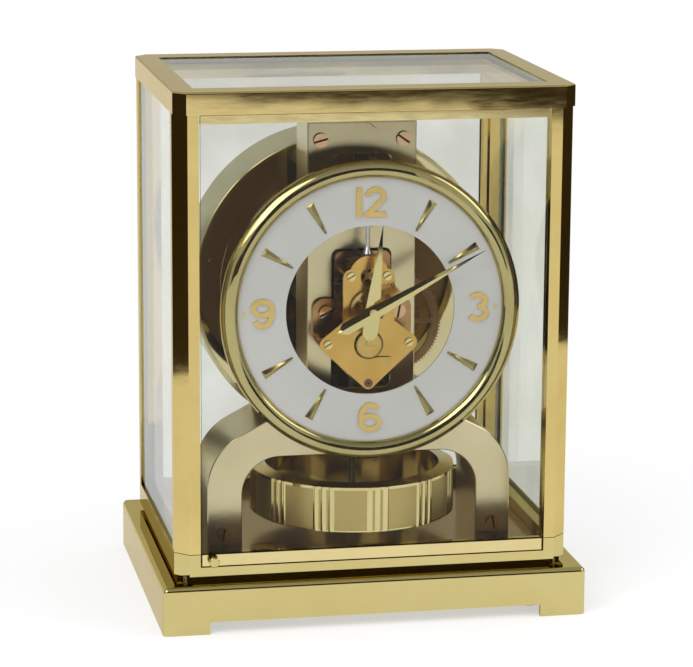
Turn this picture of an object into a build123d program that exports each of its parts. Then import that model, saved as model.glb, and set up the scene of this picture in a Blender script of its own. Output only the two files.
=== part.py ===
from build123d import *
import math
import os

# Atmospheric clock: a gilt brass case with glass sides, an arch-shaped frame,
# a round drum of gas behind the dial that breathes and winds the movement,
# and a ring balance that turns slowly on a thin wire.
# Millimetres. The origin is the bottom centre of the base, +Z is up and
# the dial faces -Y.

os.makedirs("parts", exist_ok=True)

# Case: overall sizes
clock_height = 235.0
base_width = 188.0
base_depth = 147.0
cage_width = 174.6
cage_depth = 130.8
cap_depth = 135.7
overrun = 1.0
glass_thickness = 2.5
glass_clearance = 0.1
corner_bevel = 6.0

# Base plinth
plinth_height = 21.5
plinth_wall = 2.4
plinth_top_thickness = 2.6
plinth_rounding = 2.2
skirt_foot_width = 20.4
skirt_cutout_height = 5.5
boss_radius = 8.0
boss_height = 9.0
boss_inset = 21.0

# Levelling screws under the front corners
thread_radius = 3.0
thread_clearance = 0.06
thumb_wheel_radius = 11.0
thumb_wheel_thickness = 3.0
thumb_wheel_gap = 0.8
thumb_wheel_notch_radius = 0.8
thumb_wheel_notches = 24
thread_engagement = 7.6
screw_tip_radius = 1.8
pad_radius = 6.0
pad_height = 2.4
pad_lift = 0.4
pad_gap = 0.3
pad_socket_depth = 1.2

# Sill frame that carries the cage
neck_height = 2.3
neck_inset = 1.5
sill_top = 33.5
sill_rail = 8.0
front_strip_height = 4.0
sill_ledge_width = 5.0
sill_ledge_thickness = 1.5
rail_groove_depth = 2.0

# Corner posts and the rods that tie base, posts and cap
post_size = 10.8
post_relief = 2.6
post_groove_depth = 3.0
groove_offset = 0.9
post_end_bevel = 0.3
rod_radius = 1.6
rod_clearance = 0.2
rod_head_radius = 3.0
rod_head_height = 2.0
rod_slot_width = 0.7
rod_slot_depth = 0.8
rod_reach_in_cap = 4.0

# Floor of the case
floor_thickness = 2.7
floor_clearance = 0.25
level_radius = 5.3
level_wall = 0.9
level_height = 2.8
level_cup_depth = 1.0
level_glass_height = 0.7
level_x = -44.7
level_y = -46.4

# Cap frame and its glass
cap_height = 9.7
cap_bevel = 5.25
cap_edge_round = 0.9
cap_opening_width = 155.0
cap_opening_depth = 109.0
cap_ledge_width = 2.4
cap_glass_recess = 0.5

# Front door
door_side_gap = 0.8
door_sill_gap = 0.5
door_cap_gap = 0.7
door_glass_thickness = 2.0
door_front_inset = 0.4
door_glass_inset = 0.6
door_bottom_rail_depth = 5.0
door_bottom_rail_height = 5.0
door_top_rail_depth = 3.6
door_top_rail_height = 3.6
door_rail_grip = 1.4
door_groove_clearance = 0.05
door_pin_radius = 0.8
door_pin_clearance = 0.05
door_pin_length = 2.4
door_pin_inset = 1.9
door_pin_setback = 1.7
knob_radius = 2.3
knob_length = 3.0
knob_neck_radius = 1.1
knob_neck_length = 1.2
knob_inset = 4.8
knob_round = 0.6

# Arch frame
frame_front = -33.0
arch_depth = 38.0
pillar_depth = 27.0
web_thickness = 5.0
arch_half_width = 68.7
arch_leg_width = 15.5
arch_headroom = 7.8
arch_inner_radius = 17.0
arch_shoulder_radius = 27.0
arch_shoulder_drop = 13.9
arch_slope_angle = 27.6
column_half_width = 24.2
column_rise = 79.3
window_half_width = 13.1
window_radius = 3.0
lower_window_drop = 39.2
lower_window_rise = 23.3
middle_web_height = 16.0
top_web_height = 14.0
staff_hole_radius = 7.0
frame_edge_bevel = 0.35

# Slotted copper screws of the frame and the movement
frame_screw_head_radius = 3.2
frame_screw_head_height = 1.5
frame_screw_radius = 1.5
frame_screw_length = 9.0
frame_screw_slot = 0.9
frame_screw_slot_depth = 0.8
bridge_screw_slot_angles = (15.0, -35.0)
leg_screw_slot_angles = (80.0, 100.0)
movement_screw_slot_angles = (25.0, 80.0)
screw_fit = 0.1
screw_hole_margin = 0.3
leg_screw_height = 4.5
leg_screw_inset = 7.2
bridge_screw_x = 18.4
bridge_screw_drop = 7.6
movement_screw_x = 16.2
movement_screw_drop = 4.3

# Suspension of the balance
balance_y = -14.0
bridge_height = 12.5
clamp_radius = 2.6
clamp_drop = 4.0
clamp_nut_radius = 4.2
clamp_nut_height = 2.2
clamp_fit = 0.1
wire_radius = 0.2
wire_gap = 0.15
hook_radius = 0.5
hook_front_gap = 0.2
hook_start_x = 2.3
hook_end_x = 6.1
hook_drop = 2.9
hook_run = 5.0
hook_bend = 1.1

# Balance
balance_radius = 46.0
balance_ring_width = 6.7
balance_lift = 10.6
balance_height = 20.1
balance_inner_rise = 0.9
flute_groups = 12
flutes_in_group = 3
flute_pitch = 3.6
flute_width = 2.7
flute_relief = 0.45
flute_start_angle = 3.4
arm_count = 3
arm_width = 6.0
arm_thickness = 2.4
arm_rise = 4.0
hub_radius = 8.0
hub_height = 7.0
arm_seat_gap = 0.15
staff_radius = 1.6
staff_rise = 15.3
staff_fit = 0.05
roller_radius = 2.9
roller_thickness = 1.2
roller_rise = 8.7
impulse_pin_radius = 0.35
impulse_pin_offset = 2.1
impulse_pin_height = 1.6

# Gas drum behind the dial
drum_radius = 69.0
drum_lift = 8.1
drum_gap = 0.3
drum_depth = 37.7
drum_wall = 1.5
drum_back_thickness = 2.0
drum_lip_width = 1.9
drum_ledge_width = 2.2
drum_ledge_thickness = 1.2
drum_rounding = 0.8
cover_recess = 1.0
cover_thickness = 2.0
cover_clearance = 0.1
cover_groove_radius = 57.0
cover_groove_width = 0.8
cover_groove_depth = 0.4
cover_rivet_radius = 1.3
cover_rivet_height = 0.8
cover_rivet_place_radius = 61.6
cover_rivet_angle = 281.5
cover_rivet_count = 3
spacer_radius = 4.5
spacer_x = 17.6
lower_spacer_drop = 4.7
upper_spacer_rise = 57.3

# Bellows inside the drum
bellows_outer_radius = 60.0
bellows_inner_radius = 53.0
bellows_wall = 0.8
bellows_folds = 4
bellows_collar_length = 10.0
bellows_plate_clearance = 0.3
bellows_plate_thickness = 1.6
bellows_plate_back = 18.0
cover_hole_radius = 3.0
spring_radius = 11.0
spring_wall = 1.4
spring_gap = 2.0

# Pull rod and winding rocker
pull_rod_radius = 0.5
pull_bead_radius = 1.6
pull_bead_length = 1.2
pull_bead_front = 1.3
rocker_y = 4.0
rocker_radius = 1.0
rocker_clearance = 0.05
rocker_left = -3.4
rocker_right = 9.4
rocker_arm_width = 1.6
rocker_arm_thickness = 1.6
fork_tine_width = 1.0
fork_slot_width = 1.8
fork_rise = 2.2
fork_root_drop = 2.2
pawl_width = 1.1
pawl_height = 1.6
pawl_front = 0.9
lug_width = 1.2
lug_radius = 2.0
lug_left = -3.0
lug_right = 4.6
lug_plate_height = 9.0
lug_plate_thickness = 1.0

# Winding wheel behind the right pillar
winding_x = 18.8
winding_drop = 16.0
winding_teeth = 96
transfer_pinion_teeth = 8
winding_wheel_front = -5.2
winding_wheel_thickness = 1.2
winding_rim_width = 3.4
winding_spokes = 5
winding_spoke_angle = 90.0
winding_spoke_width = 2.2
winding_hub_radius = 4.0
winding_post_radius = 1.2
winding_post_seat = 3.0
winding_post_top = 3.2
winding_post_clearance = 0.05
drive_ratchet_teeth = 24
drive_ratchet_radius = 9.0
drive_ratchet_depth = 1.1
drive_ratchet_front = 1.0
drive_ratchet_thickness = 1.0

# Transfer arbor between the winding wheel and the barrel arbor
transfer_x = -5.0
transfer_drop = 7.3
transfer_radius = 0.8
rear_pinion_thickness = 1.8
front_pinion_thickness = 1.6
cock_front = -2.8
cock_thickness = 1.6
cock_tip_radius = 2.6
cock_foot_radius = 3.5
cock_foot_x = -18.6
cock_foot_drop = 17.7
arbor_gear_teeth = 48
arbor_gear_thickness = 1.2
arbor_gear_gap = 1.0

# Movement plates, in the plane of the dial
back_plate_thickness = 2.6
back_plate_half_width = 12.4
back_plate_rise = 22.7
back_plate_corner = 3.0
ear_half_width = 22.0
ear_rise = 1.9
ear_drop = 19.2
ear_corner = 5.0
back_plate_tip_radius = 4.2
front_plate_back = -48.5
front_plate_thickness = 1.8
front_plate_half_width = 11.4
waist_drop = 5.7
dome_radius = 8.6
dome_rise = 14.8
shoulder_screw_x = 8.0
shoulder_screw_rise = 14.3
shoulder_radius = 3.2
ear_screw_x = 18.0
ear_screw_drop = 15.5
ear_radius = 3.6
tip_drop = 33.3
tip_radius = 2.7
escape_window_radius = 4.0
movement_pillar_radius = 1.9
plate_screw_head_radius = 1.85
plate_screw_head_height = 0.8
plate_screw_radius = 0.8
plate_screw_length = 4.0
plate_screw_slot = 0.45
plate_screw_slot_depth = 0.4
plate_screw_slot_angle = 30.0

# Bearings
arbor_radius = 0.8
pivot_radius = 0.55
pivot_clearance = 0.05
end_play = 0.3
jewel_radius = 1.9
jewel_thickness = 0.6

# Half a turn, for meshing wheels and the coils of the spring
half_turn_angle = 180.0

# Tooth forms: shares of the module, then shares of the tooth pitch
addendum_share = 0.62
dedendum_share = 1.05
tooth_root_share = 0.25
tooth_tip_share = 0.1

# Barrel, mainspring, ratchet wheel and click
barrel_drop = 16.0
barrel_teeth = 96
centre_pinion_teeth = 12
barrel_wheel_thickness = 1.4
barrel_wheel_gap = 0.9
barrel_radius = 12.4
barrel_depth = 5.2
barrel_wall = 0.8
barrel_arbor_radius = 2.2
mainspring_strip = 0.35
mainspring_pitch = 0.85
mainspring_turns = 8
mainspring_inner_radius = 3.4
mainspring_gap = 0.3
ratchet_teeth = 32
ratchet_radius = 6.2
ratchet_depth = 1.1
ratchet_thickness = 0.9
ratchet_lift = 0.4
ratchet_recess_depth = 1.2
ratchet_recess_wall = 0.3
ratchet_recess_width = 2.6
ratchet_cap_radius = 1.7
ratchet_cap_height = 0.5
ratchet_slot_width = 0.5
ratchet_slot_depth = 0.35
click_x = 8.9
click_drop = 7.1
click_head_radius = 1.5
click_tip_radius = 0.5
click_tip_angle = 150.0
click_tip_gap = 0.35
click_thickness = 0.8
click_pin_radius = 0.5

# Centre wheel, motion work and escapement
centre_teeth = 60
escape_pinion_teeth = 15
escape_rise = 14.1
centre_wheel_thickness = 0.9
centre_wheel_gap = 1.8
pinion_overhang = 0.4
wheel_spokes = 4
wheel_spoke_angle = 45.0
wheel_rim_share = 0.8
wheel_hub_share = 0.26
wheel_spoke_share = 0.14
cannon_teeth = 16
minute_wheel_teeth = 24
minute_pinion_teeth = 6
hour_teeth = 48
motion_distance = 9.675
motion_angle = 60.0
cannon_lift = 0.35
cannon_thickness = 0.7
motion_layer_gap = 0.25
hour_wheel_thickness = 0.6
hour_pipe_radius = 2.0
cannon_pipe_radius = 1.3
motion_post_radius = 0.5
escape_teeth = 15
escape_radius = 5.0
escape_tooth_depth = 1.3
escape_wheel_thickness = 0.7
escape_hub_radius = 1.5
escape_spoke_width = 0.9
pallet_rise = 6.8
pallet_reach_angle = 38.0
pallet_tip_radius = 0.6
pallet_tip_gap = 0.8
pallet_hub_radius = 1.4
crutch_back = -17.8
crutch_thickness = 0.8
crutch_drop = 9.6
crutch_width = 1.6
crutch_slot = 1.0

# Hands: lengths are from the arbor
hour_hand_length = 38.8
hour_hand_tail = 13.2
hour_hand_shoulder = 10.3
hour_hand_half_width = 3.4
hour_hand_tail_half_width = 3.3
hour_hub_radius = 2.7
minute_hand_length = 56.0
minute_hand_tail = 17.9
minute_hand_shoulder = 14.0
minute_hand_half_width = 3.0
minute_hand_tail_half_width = 2.8
minute_hub_radius = 1.7
hand_edge_thickness = 0.25
hand_ridge_rise = 0.55
hand_ridge_half_width = 0.1
hand_ridge_inset = 1.2
hour_hand_back = -58.3
minute_hand_back = -60.3
hand_cap_radius = 1.1
hand_cap_height = 0.5
hour_hand_angle = 6.5
minute_hand_angle = 62.0

# Dial, carrier and bezel
dial_face = -54.0
dial_thickness = 1.2
dial_radius = 60.0
dial_opening_radius = 37.3
carrier_inner_radius = 38.8
carrier_radius = 62.0
carrier_thickness = 2.0
dial_post_radius = 2.4
dial_post_x = 18.7
dial_post_offset = 48.0
bezel_inner_radius = 58.4
bezel_crown_radius = 61.8
bezel_radius = 66.1
bezel_wall_radius = 65.0
bezel_rise = 3.5
bezel_lip_height = 1.0
bezel_edge_height = 0.8
bezel_step_depth = 0.6
bezel_depth = 6.5
bezel_clearance = 0.1
dial_screw_place_radius = 55.6
dial_screw_head_radius = 0.95
dial_screw_head_height = 0.35
dial_screw_radius = 0.5
dial_screw_length = 2.6
dial_screw_slot = 0.3
dial_screw_slot_depth = 0.2
dial_screw_slot_angle = 60.0

# Numerals and hour markers laid on the dial
numeral_place_radius = 47.6
numeral_height = 13.2
numeral_stroke = 2.4
numeral_thickness = 0.7
marker_inner_radius = 39.6
marker_outer_radius = 54.4
marker_inner_half_width = 0.45
marker_outer_half_width = 1.9
marker_edge_thickness = 0.25
marker_ridge_rise = 0.6
marker_ridge_inset = 1.0
marker_ridge_half_width = 0.1

# Hanger rod above the movement
hanger_y = -46.0
hanger_radius = 0.9
hanger_stud_radius = 1.7
hanger_stud_rise = 36.7
hanger_flare_radius = 2.1
hanger_flare_height = 3.0
hanger_gap = 0.3

# Places that follow from the sizes above
half_cage_width = cage_width / 2
half_cage_depth = cage_depth / 2
sill_bottom = plinth_height + neck_height
strip_top = sill_bottom + front_strip_height
cap_bottom = clock_height - cap_height
plinth_ceiling = plinth_height - plinth_top_thickness
floor_bottom = sill_bottom + sill_ledge_thickness
floor_top = floor_bottom + floor_thickness
balance_bottom = floor_top + balance_lift
ring_top = balance_bottom + balance_height + balance_inner_rise
arch_opening_top = ring_top + arch_headroom
arch_shoulder_height = arch_opening_top - arch_shoulder_drop
dial_height = ring_top + drum_lift + drum_radius
column_top = dial_height + column_rise
lower_window_bottom = dial_height - lower_window_drop
lower_window_top = dial_height + lower_window_rise
upper_window_bottom = lower_window_top + middle_web_height
upper_window_top = column_top - top_web_height
bridge_bottom = column_top - bridge_height
bridge_screw_z = column_top - bridge_screw_drop
movement_screw_z = dial_height - movement_screw_drop
staff_top = dial_height + staff_rise
roller_bottom = dial_height + roller_rise
lower_spacer_z = dial_height - lower_spacer_drop
upper_spacer_z = dial_height + upper_spacer_rise
winding_z = dial_height - winding_drop
transfer_z = dial_height - transfer_drop
cock_foot_z = dial_height - cock_foot_drop
back_plate_top = dial_height + back_plate_rise
ear_top = dial_height + ear_rise
ear_bottom = dial_height - ear_drop
front_plate_waist = dial_height - waist_drop
dome_height = dial_height + dome_rise
shoulder_screw_z = dial_height + shoulder_screw_rise
ear_screw_z = dial_height - ear_screw_drop
tip_height = dial_height - tip_drop
barrel_z = dial_height - barrel_drop
click_z = barrel_z - click_drop
escape_z = dial_height + escape_rise
pallet_z = escape_z + pallet_rise
hanger_stud_z = dial_height + hanger_stud_rise
post_x = half_cage_width - post_size / 2
post_y = half_cage_depth - post_size / 2
rail_x = half_cage_width - groove_offset - glass_thickness / 2
rear_glass_y = half_cage_depth - groove_offset - glass_thickness / 2
groove_width = glass_thickness + 2 * glass_clearance
column_back = frame_front + pillar_depth
web_back = frame_front + web_thickness
arch_back = frame_front + arch_depth
drum_front = arch_back + drum_gap
drum_back = drum_front + drum_depth
cover_front = drum_front + cover_recess
cover_back = cover_front + cover_thickness
back_plate_front = frame_front - back_plate_thickness
front_plate_front = front_plate_back - front_plate_thickness
carrier_front = dial_face + dial_thickness
carrier_back = carrier_front + carrier_thickness
centre_pinion_radius = (dial_height - barrel_z) * centre_pinion_teeth / (centre_pinion_teeth + barrel_teeth)
barrel_pitch_radius = dial_height - barrel_z - centre_pinion_radius
escape_pinion_radius = (escape_z - dial_height) * escape_pinion_teeth / (escape_pinion_teeth + centre_teeth)
centre_pitch_radius = escape_z - dial_height - escape_pinion_radius
cannon_radius = motion_distance * cannon_teeth / (cannon_teeth + minute_wheel_teeth)
minute_wheel_radius = motion_distance - cannon_radius
minute_pinion_radius = motion_distance * minute_pinion_teeth / (minute_pinion_teeth + hour_teeth)
hour_wheel_radius = motion_distance - minute_pinion_radius
minute_x = motion_distance * math.sin(math.radians(motion_angle))
minute_z = dial_height + motion_distance * math.cos(math.radians(motion_angle))
transfer_distance = math.hypot(winding_x - transfer_x, winding_z - transfer_z)
winding_pitch_radius = transfer_distance * winding_teeth / (winding_teeth + transfer_pinion_teeth)
rear_pinion_radius = transfer_distance - winding_pitch_radius
arbor_distance = math.hypot(transfer_x, transfer_z - barrel_z)
arbor_gear_radius = arbor_distance * arbor_gear_teeth / (arbor_gear_teeth + transfer_pinion_teeth)
front_pinion_radius = arbor_distance - arbor_gear_radius


def facing(y):
    """Plane at depth y whose normal points to the front of the clock."""
    return Plane.XZ.offset(-y)


def dial_plane(angle, y):
    """Plane about the hand arbor with its own up turned to a clock angle."""
    turn = math.radians(angle)
    return Plane(
        origin=(0, y, dial_height),
        x_dir=(math.cos(turn), 0, -math.sin(turn)),
        z_dir=(0, -1, 0),
    )


def polar(radius, angle):
    """Point at a clock angle: 0 is straight up, angles grow clockwise."""
    turn = math.radians(angle)
    return (radius * math.sin(turn), radius * math.cos(turn))


def disc(x, z, radius, back, front, mode=Mode.ADD):
    """Round boss or hole along the depth of the clock."""
    with BuildSketch(facing(back)) as round_face:
        with Locations((x, z)):
            Circle(radius)
    extrude(round_face.sketch, amount=back - front, mode=mode)


def upright(x, y, radius, bottom, top, mode=Mode.ADD):
    """Round bar or hole along the height of the clock."""
    with BuildSketch(Plane.XY.offset(bottom)) as round_face:
        with Locations((x, y)):
            Circle(radius)
    extrude(round_face.sketch, amount=top - bottom, mode=mode)


def block(left, right, front, back, bottom, top, mode=Mode.ADD):
    """Straight block or cut between the given sides."""
    with BuildSketch(Plane.XY.offset(bottom)) as face:
        with Locations(((left + right) / 2, (front + back) / 2)):
            Rectangle(right - left, back - front)
    extrude(face.sketch, amount=top - bottom, mode=mode)


def tooth_outline(teeth, pitch_radius, turned):
    """Outline of a spur wheel with tapered straight teeth."""
    module = 2 * pitch_radius / teeth
    tip = pitch_radius + addendum_share * module
    root = pitch_radius - dedendum_share * module
    step = 360.0 / teeth
    points = []
    for tooth in range(teeth):
        middle = turned + tooth * step
        points.append(polar(root, middle - tooth_root_share * step))
        points.append(polar(tip, middle - tooth_tip_share * step))
        points.append(polar(tip, middle + tooth_tip_share * step))
        points.append(polar(root, middle + tooth_root_share * step))
    return points


def saw_outline(teeth, radius, depth):
    """Outline of a ratchet or escape wheel, with one steep side on each tooth."""
    step = 360.0 / teeth
    points = []
    for tooth in range(teeth):
        points.append(polar(radius, tooth * step))
        points.append(polar(radius - depth, (tooth + 1) * step))
    return points


def gear(x, z, teeth, pitch_radius, back, front, turned):
    """Spur wheel blank with its teeth, in the open part."""
    with BuildSketch(facing(back)) as outline:
        with Locations((x, z)):
            Polygon(*tooth_outline(teeth, pitch_radius, turned), align=None)
    extrude(outline.sketch, amount=back - front)


def spoke_windows(x, z, inner, outer, spokes, spoke_width, back, front, turned):
    """Cut the openings between the spokes of a wheel."""
    with BuildSketch(facing(back)) as openings:
        with Locations((x, z)):
            Circle(outer)
            Circle(inner, mode=Mode.SUBTRACT)
        for spoke in range(spokes):
            reach = polar(outer / 2, turned + spoke * 360.0 / spokes)
            with Locations(Location((x + reach[0], z + reach[1]), -turned - spoke * 360.0 / spokes)):
                Rectangle(spoke_width, outer + spoke_width, mode=Mode.SUBTRACT)
    extrude(openings.sketch, amount=back - front, mode=Mode.SUBTRACT)


def slotted_screw(x, z, seat, head_radius, head_height, shank_radius, shank_length, slot, slot_depth, angle):
    """Cheese-head screw that is driven from the front."""
    disc(x, z, head_radius, seat, seat - head_height)
    disc(x, z, shank_radius, seat + shank_length, seat)
    with BuildSketch(facing(seat - head_height + slot_depth)) as slot_face:
        with Locations(Location((x, z), angle)):
            Rectangle(2 * head_radius + overrun, slot)
    extrude(slot_face.sketch, amount=slot_depth + overrun, mode=Mode.SUBTRACT)


def save(builder, name):
    """Label a finished piece and write it to its own file."""
    builder.part.label = name
    export_step(builder.part, f"parts/{name}.step")
    print(name, "solids", len(builder.part.solids()), "volume", round(builder.part.volume, 2))


# Base plinth: a hollow brass casting that stands on its corners
level_places = [
    (side * (base_width / 2 - boss_inset), -(base_depth / 2 - boss_inset)) for side in (-1, 1)
]
rod_places = [(x_side * post_x, y_side * post_y) for x_side in (-1, 1) for y_side in (-1, 1)]
boss_bottom = plinth_ceiling - boss_height
with BuildPart() as base_plinth:
    with BuildSketch():
        Rectangle(base_width, base_depth)
    extrude(amount=plinth_height)
    fillet(base_plinth.edges().filter_by(Axis.Z), plinth_rounding)
    fillet(base_plinth.faces().sort_by(Axis.Z)[-1].edges(), plinth_rounding)
    with BuildSketch():
        Rectangle(base_width - 2 * plinth_wall, base_depth - 2 * plinth_wall)
    extrude(amount=plinth_ceiling, mode=Mode.SUBTRACT)
    with BuildSketch():
        Rectangle(base_width - 2 * skirt_foot_width, base_depth + 2 * overrun)
    extrude(amount=skirt_cutout_height, mode=Mode.SUBTRACT)
    for x, y in level_places:
        upright(x, y, boss_radius, boss_bottom, plinth_ceiling)
        upright(x, y, thread_radius + thread_clearance, boss_bottom, plinth_ceiling, Mode.SUBTRACT)
    for x, y in rod_places:
        upright(x, y, rod_radius + rod_clearance, plinth_ceiling, plinth_height, Mode.SUBTRACT)
save(base_plinth, "base_plinth")

# Levelling screws: a knurled thumb wheel on a thread, with a tip that stands in its pad
wheel_top = boss_bottom - thumb_wheel_gap
wheel_bottom = wheel_top - thumb_wheel_thickness
pad_top = pad_lift + pad_height
socket_bottom = pad_top - pad_socket_depth
for (x, y), side_name in zip(level_places, ("left", "right")):
    with BuildPart() as levelling_screw:
        with BuildSketch(Plane.XY.offset(wheel_bottom)):
            with Locations((x, y)):
                Circle(thumb_wheel_radius)
                with PolarLocations(thumb_wheel_radius, thumb_wheel_notches):
                    Circle(thumb_wheel_notch_radius, mode=Mode.SUBTRACT)
        extrude(amount=thumb_wheel_thickness)
        upright(x, y, thread_radius, wheel_top, boss_bottom + thread_engagement)
        upright(x, y, screw_tip_radius, socket_bottom + pad_gap, wheel_bottom)
    save(levelling_screw, f"{side_name}_levelling_screw")

    with BuildPart() as foot_pad:
        upright(x, y, pad_radius, pad_lift, pad_top)
        upright(x, y, screw_tip_radius + thread_clearance, socket_bottom, pad_top, Mode.SUBTRACT)
    save(foot_pad, f"{side_name}_foot_pad")

# Sill frame: the brass frame on the plinth that holds the floor, the glass and the posts
groove_places = [(rail_x, 0), (-rail_x, 0)]
side_glass_depth = cage_depth - 2 * post_size + 2 * (post_groove_depth - glass_clearance)
rear_glass_width = cage_width - 2 * post_size + 2 * (post_groove_depth - glass_clearance)
with BuildPart() as sill_frame:
    with BuildSketch(Plane.XY.offset(plinth_height)) as neck_outline:
        Rectangle(cage_width - 2 * neck_inset, cage_depth - 2 * neck_inset)
        chamfer(neck_outline.vertices(), corner_bevel)
    extrude(amount=neck_height)
    with BuildSketch(Plane.XY.offset(sill_bottom)) as sill_outline:
        Rectangle(cage_width, cage_depth)
        chamfer(sill_outline.vertices(), corner_bevel)
    extrude(amount=sill_top - sill_bottom)
    with BuildSketch(Plane.XY.offset(floor_bottom)):
        Rectangle(cage_width - 2 * sill_rail, cage_depth - 2 * sill_rail)
        with Locations(*rod_places):
            Rectangle(post_size, post_size, mode=Mode.SUBTRACT)
    extrude(amount=sill_top - floor_bottom, mode=Mode.SUBTRACT)
    with BuildSketch(Plane.XY.offset(plinth_height)):
        Rectangle(
            cage_width - 2 * (sill_rail + sill_ledge_width),
            cage_depth - 2 * (sill_rail + sill_ledge_width),
        )
    extrude(amount=sill_top - plinth_height, mode=Mode.SUBTRACT)
    notch = half_cage_width - post_size
    block(-notch, notch, -half_cage_depth - overrun, sill_rail - half_cage_depth, strip_top,
          sill_top + overrun, Mode.SUBTRACT)
    with BuildSketch(Plane.XY.offset(sill_top - rail_groove_depth)):
        with Locations(*groove_places):
            Rectangle(groove_width, side_glass_depth + 2 * glass_clearance)
        with Locations((0, rear_glass_y)):
            Rectangle(rear_glass_width + 2 * glass_clearance, groove_width)
    extrude(amount=rail_groove_depth, mode=Mode.SUBTRACT)
    for x, y in rod_places:
        upright(x, y, rod_radius + rod_clearance, plinth_height, sill_top, Mode.SUBTRACT)
    pin_x = notch - door_side_gap - door_pin_inset
    pin_y = -half_cage_depth + door_front_inset + door_pin_setback
    upright(pin_x, pin_y, door_pin_radius + door_pin_clearance, strip_top - door_pin_length,
            strip_top, Mode.SUBTRACT)
save(sill_frame, "sill_frame")

# Floor plate of the case
floor_half_width = half_cage_width - sill_rail - floor_clearance
floor_half_depth = half_cage_depth - sill_rail - floor_clearance
with BuildPart() as floor_plate:
    with BuildSketch(Plane.XY.offset(floor_bottom)):
        Rectangle(2 * floor_half_width, 2 * floor_half_depth)
        with Locations(*rod_places):
            Rectangle(post_size + 2 * floor_clearance, post_size + 2 * floor_clearance, mode=Mode.SUBTRACT)
    extrude(amount=floor_thickness)
save(floor_plate, "floor_plate")

# Corner posts: square bars with the outer corner cut off and grooves for the glass
with BuildPart() as corner_posts:
    with BuildSketch(Plane.XY.offset(sill_top)) as post_outline:
        Rectangle(cage_width, cage_depth)
        chamfer(post_outline.vertices(), corner_bevel)
        Rectangle(cage_width - 2 * post_size, cage_depth, mode=Mode.SUBTRACT)
        Rectangle(cage_width, cage_depth - 2 * post_size, mode=Mode.SUBTRACT)
        Rectangle(
            cage_width - 2 * (post_size - post_relief),
            cage_depth - 2 * (post_size - post_relief),
            mode=Mode.SUBTRACT,
        )
        with Locations(*groove_places):
            Rectangle(groove_width, side_glass_depth + 2 * glass_clearance, mode=Mode.SUBTRACT)
        with Locations((0, rear_glass_y)):
            Rectangle(rear_glass_width + 2 * glass_clearance, groove_width, mode=Mode.SUBTRACT)
        with Locations(*rod_places):
            Circle(rod_radius + rod_clearance, mode=Mode.SUBTRACT)
    extrude(amount=cap_bottom - sill_top)
    outer_edges = []
    for edge in corner_posts.faces().filter_by(Axis.Z).edges():
        inset_x = half_cage_width - abs(edge.center().X)
        inset_y = half_cage_depth - abs(edge.center().Y)
        if min(inset_x, inset_y) < post_end_bevel or max(inset_x, inset_y) < corner_bevel:
            outer_edges.append(edge)
    chamfer(outer_edges, post_end_bevel)
save(corner_posts, "corner_posts")

# Tie rods that hold the plinth, the sill, the posts and the cap together
with BuildPart() as tie_rods:
    for x, y in rod_places:
        upright(x, y, rod_head_radius, plinth_ceiling - rod_head_height, plinth_ceiling)
        upright(x, y, rod_radius, plinth_ceiling, cap_bottom + rod_reach_in_cap)
        with BuildSketch(Plane.XY.offset(plinth_ceiling - rod_head_height)):
            with Locations((x, y)):
                Rectangle(2 * rod_head_radius + overrun, rod_slot_width)
        extrude(amount=rod_slot_depth, mode=Mode.SUBTRACT)
save(tie_rods, "tie_rods")

# Cap frame with the rebate for the top glass
ledge_top = clock_height - cap_glass_recess - glass_thickness
with BuildPart() as cap_frame:
    with BuildSketch(Plane.XY.offset(cap_bottom)) as cap_outline:
        Rectangle(cage_width, cap_depth)
        chamfer(cap_outline.vertices(), cap_bevel)
    extrude(amount=cap_height)
    fillet(cap_frame.faces().sort_by(Axis.Z)[-1].edges(), cap_edge_round)
    with BuildSketch(Plane.XY.offset(ledge_top)):
        Rectangle(cap_opening_width, cap_opening_depth)
    extrude(amount=clock_height - ledge_top, mode=Mode.SUBTRACT)
    with BuildSketch(Plane.XY.offset(cap_bottom)):
        Rectangle(cap_opening_width - 2 * cap_ledge_width, cap_opening_depth - 2 * cap_ledge_width)
    extrude(amount=cap_height, mode=Mode.SUBTRACT)
    with BuildSketch(Plane.XY.offset(cap_bottom)):
        with Locations(*groove_places):
            Rectangle(groove_width, side_glass_depth + 2 * glass_clearance)
        with Locations((0, rear_glass_y)):
            Rectangle(rear_glass_width + 2 * glass_clearance, groove_width)
    extrude(amount=rail_groove_depth, mode=Mode.SUBTRACT)
    for x, y in rod_places:
        upright(x, y, rod_radius + rod_clearance, cap_bottom, cap_bottom + rod_reach_in_cap + overrun,
                Mode.SUBTRACT)
    upright(pin_x, pin_y, door_pin_radius + door_pin_clearance, cap_bottom, cap_bottom + door_pin_length,
            Mode.SUBTRACT)
save(cap_frame, "cap_frame")

# Glass panes of the top, the sides and the back
pane_bottom = sill_top - rail_groove_depth
pane_top = cap_bottom + rail_groove_depth - glass_clearance
with BuildPart() as top_glass:
    with BuildSketch(Plane.XY.offset(ledge_top)):
        Rectangle(cap_opening_width - 2 * glass_clearance, cap_opening_depth - 2 * glass_clearance)
    extrude(amount=glass_thickness)
save(top_glass, "top_glass")

with BuildPart() as side_glasses:
    with BuildSketch(Plane.XY.offset(pane_bottom)):
        with Locations(*groove_places):
            Rectangle(glass_thickness, side_glass_depth)
    extrude(amount=pane_top - pane_bottom)
save(side_glasses, "side_glasses")

with BuildPart() as rear_glass:
    with BuildSketch(Plane.XY.offset(pane_bottom)):
        with Locations((0, rear_glass_y)):
            Rectangle(rear_glass_width, glass_thickness)
    extrude(amount=pane_top - pane_bottom)
save(rear_glass, "rear_glass")

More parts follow.
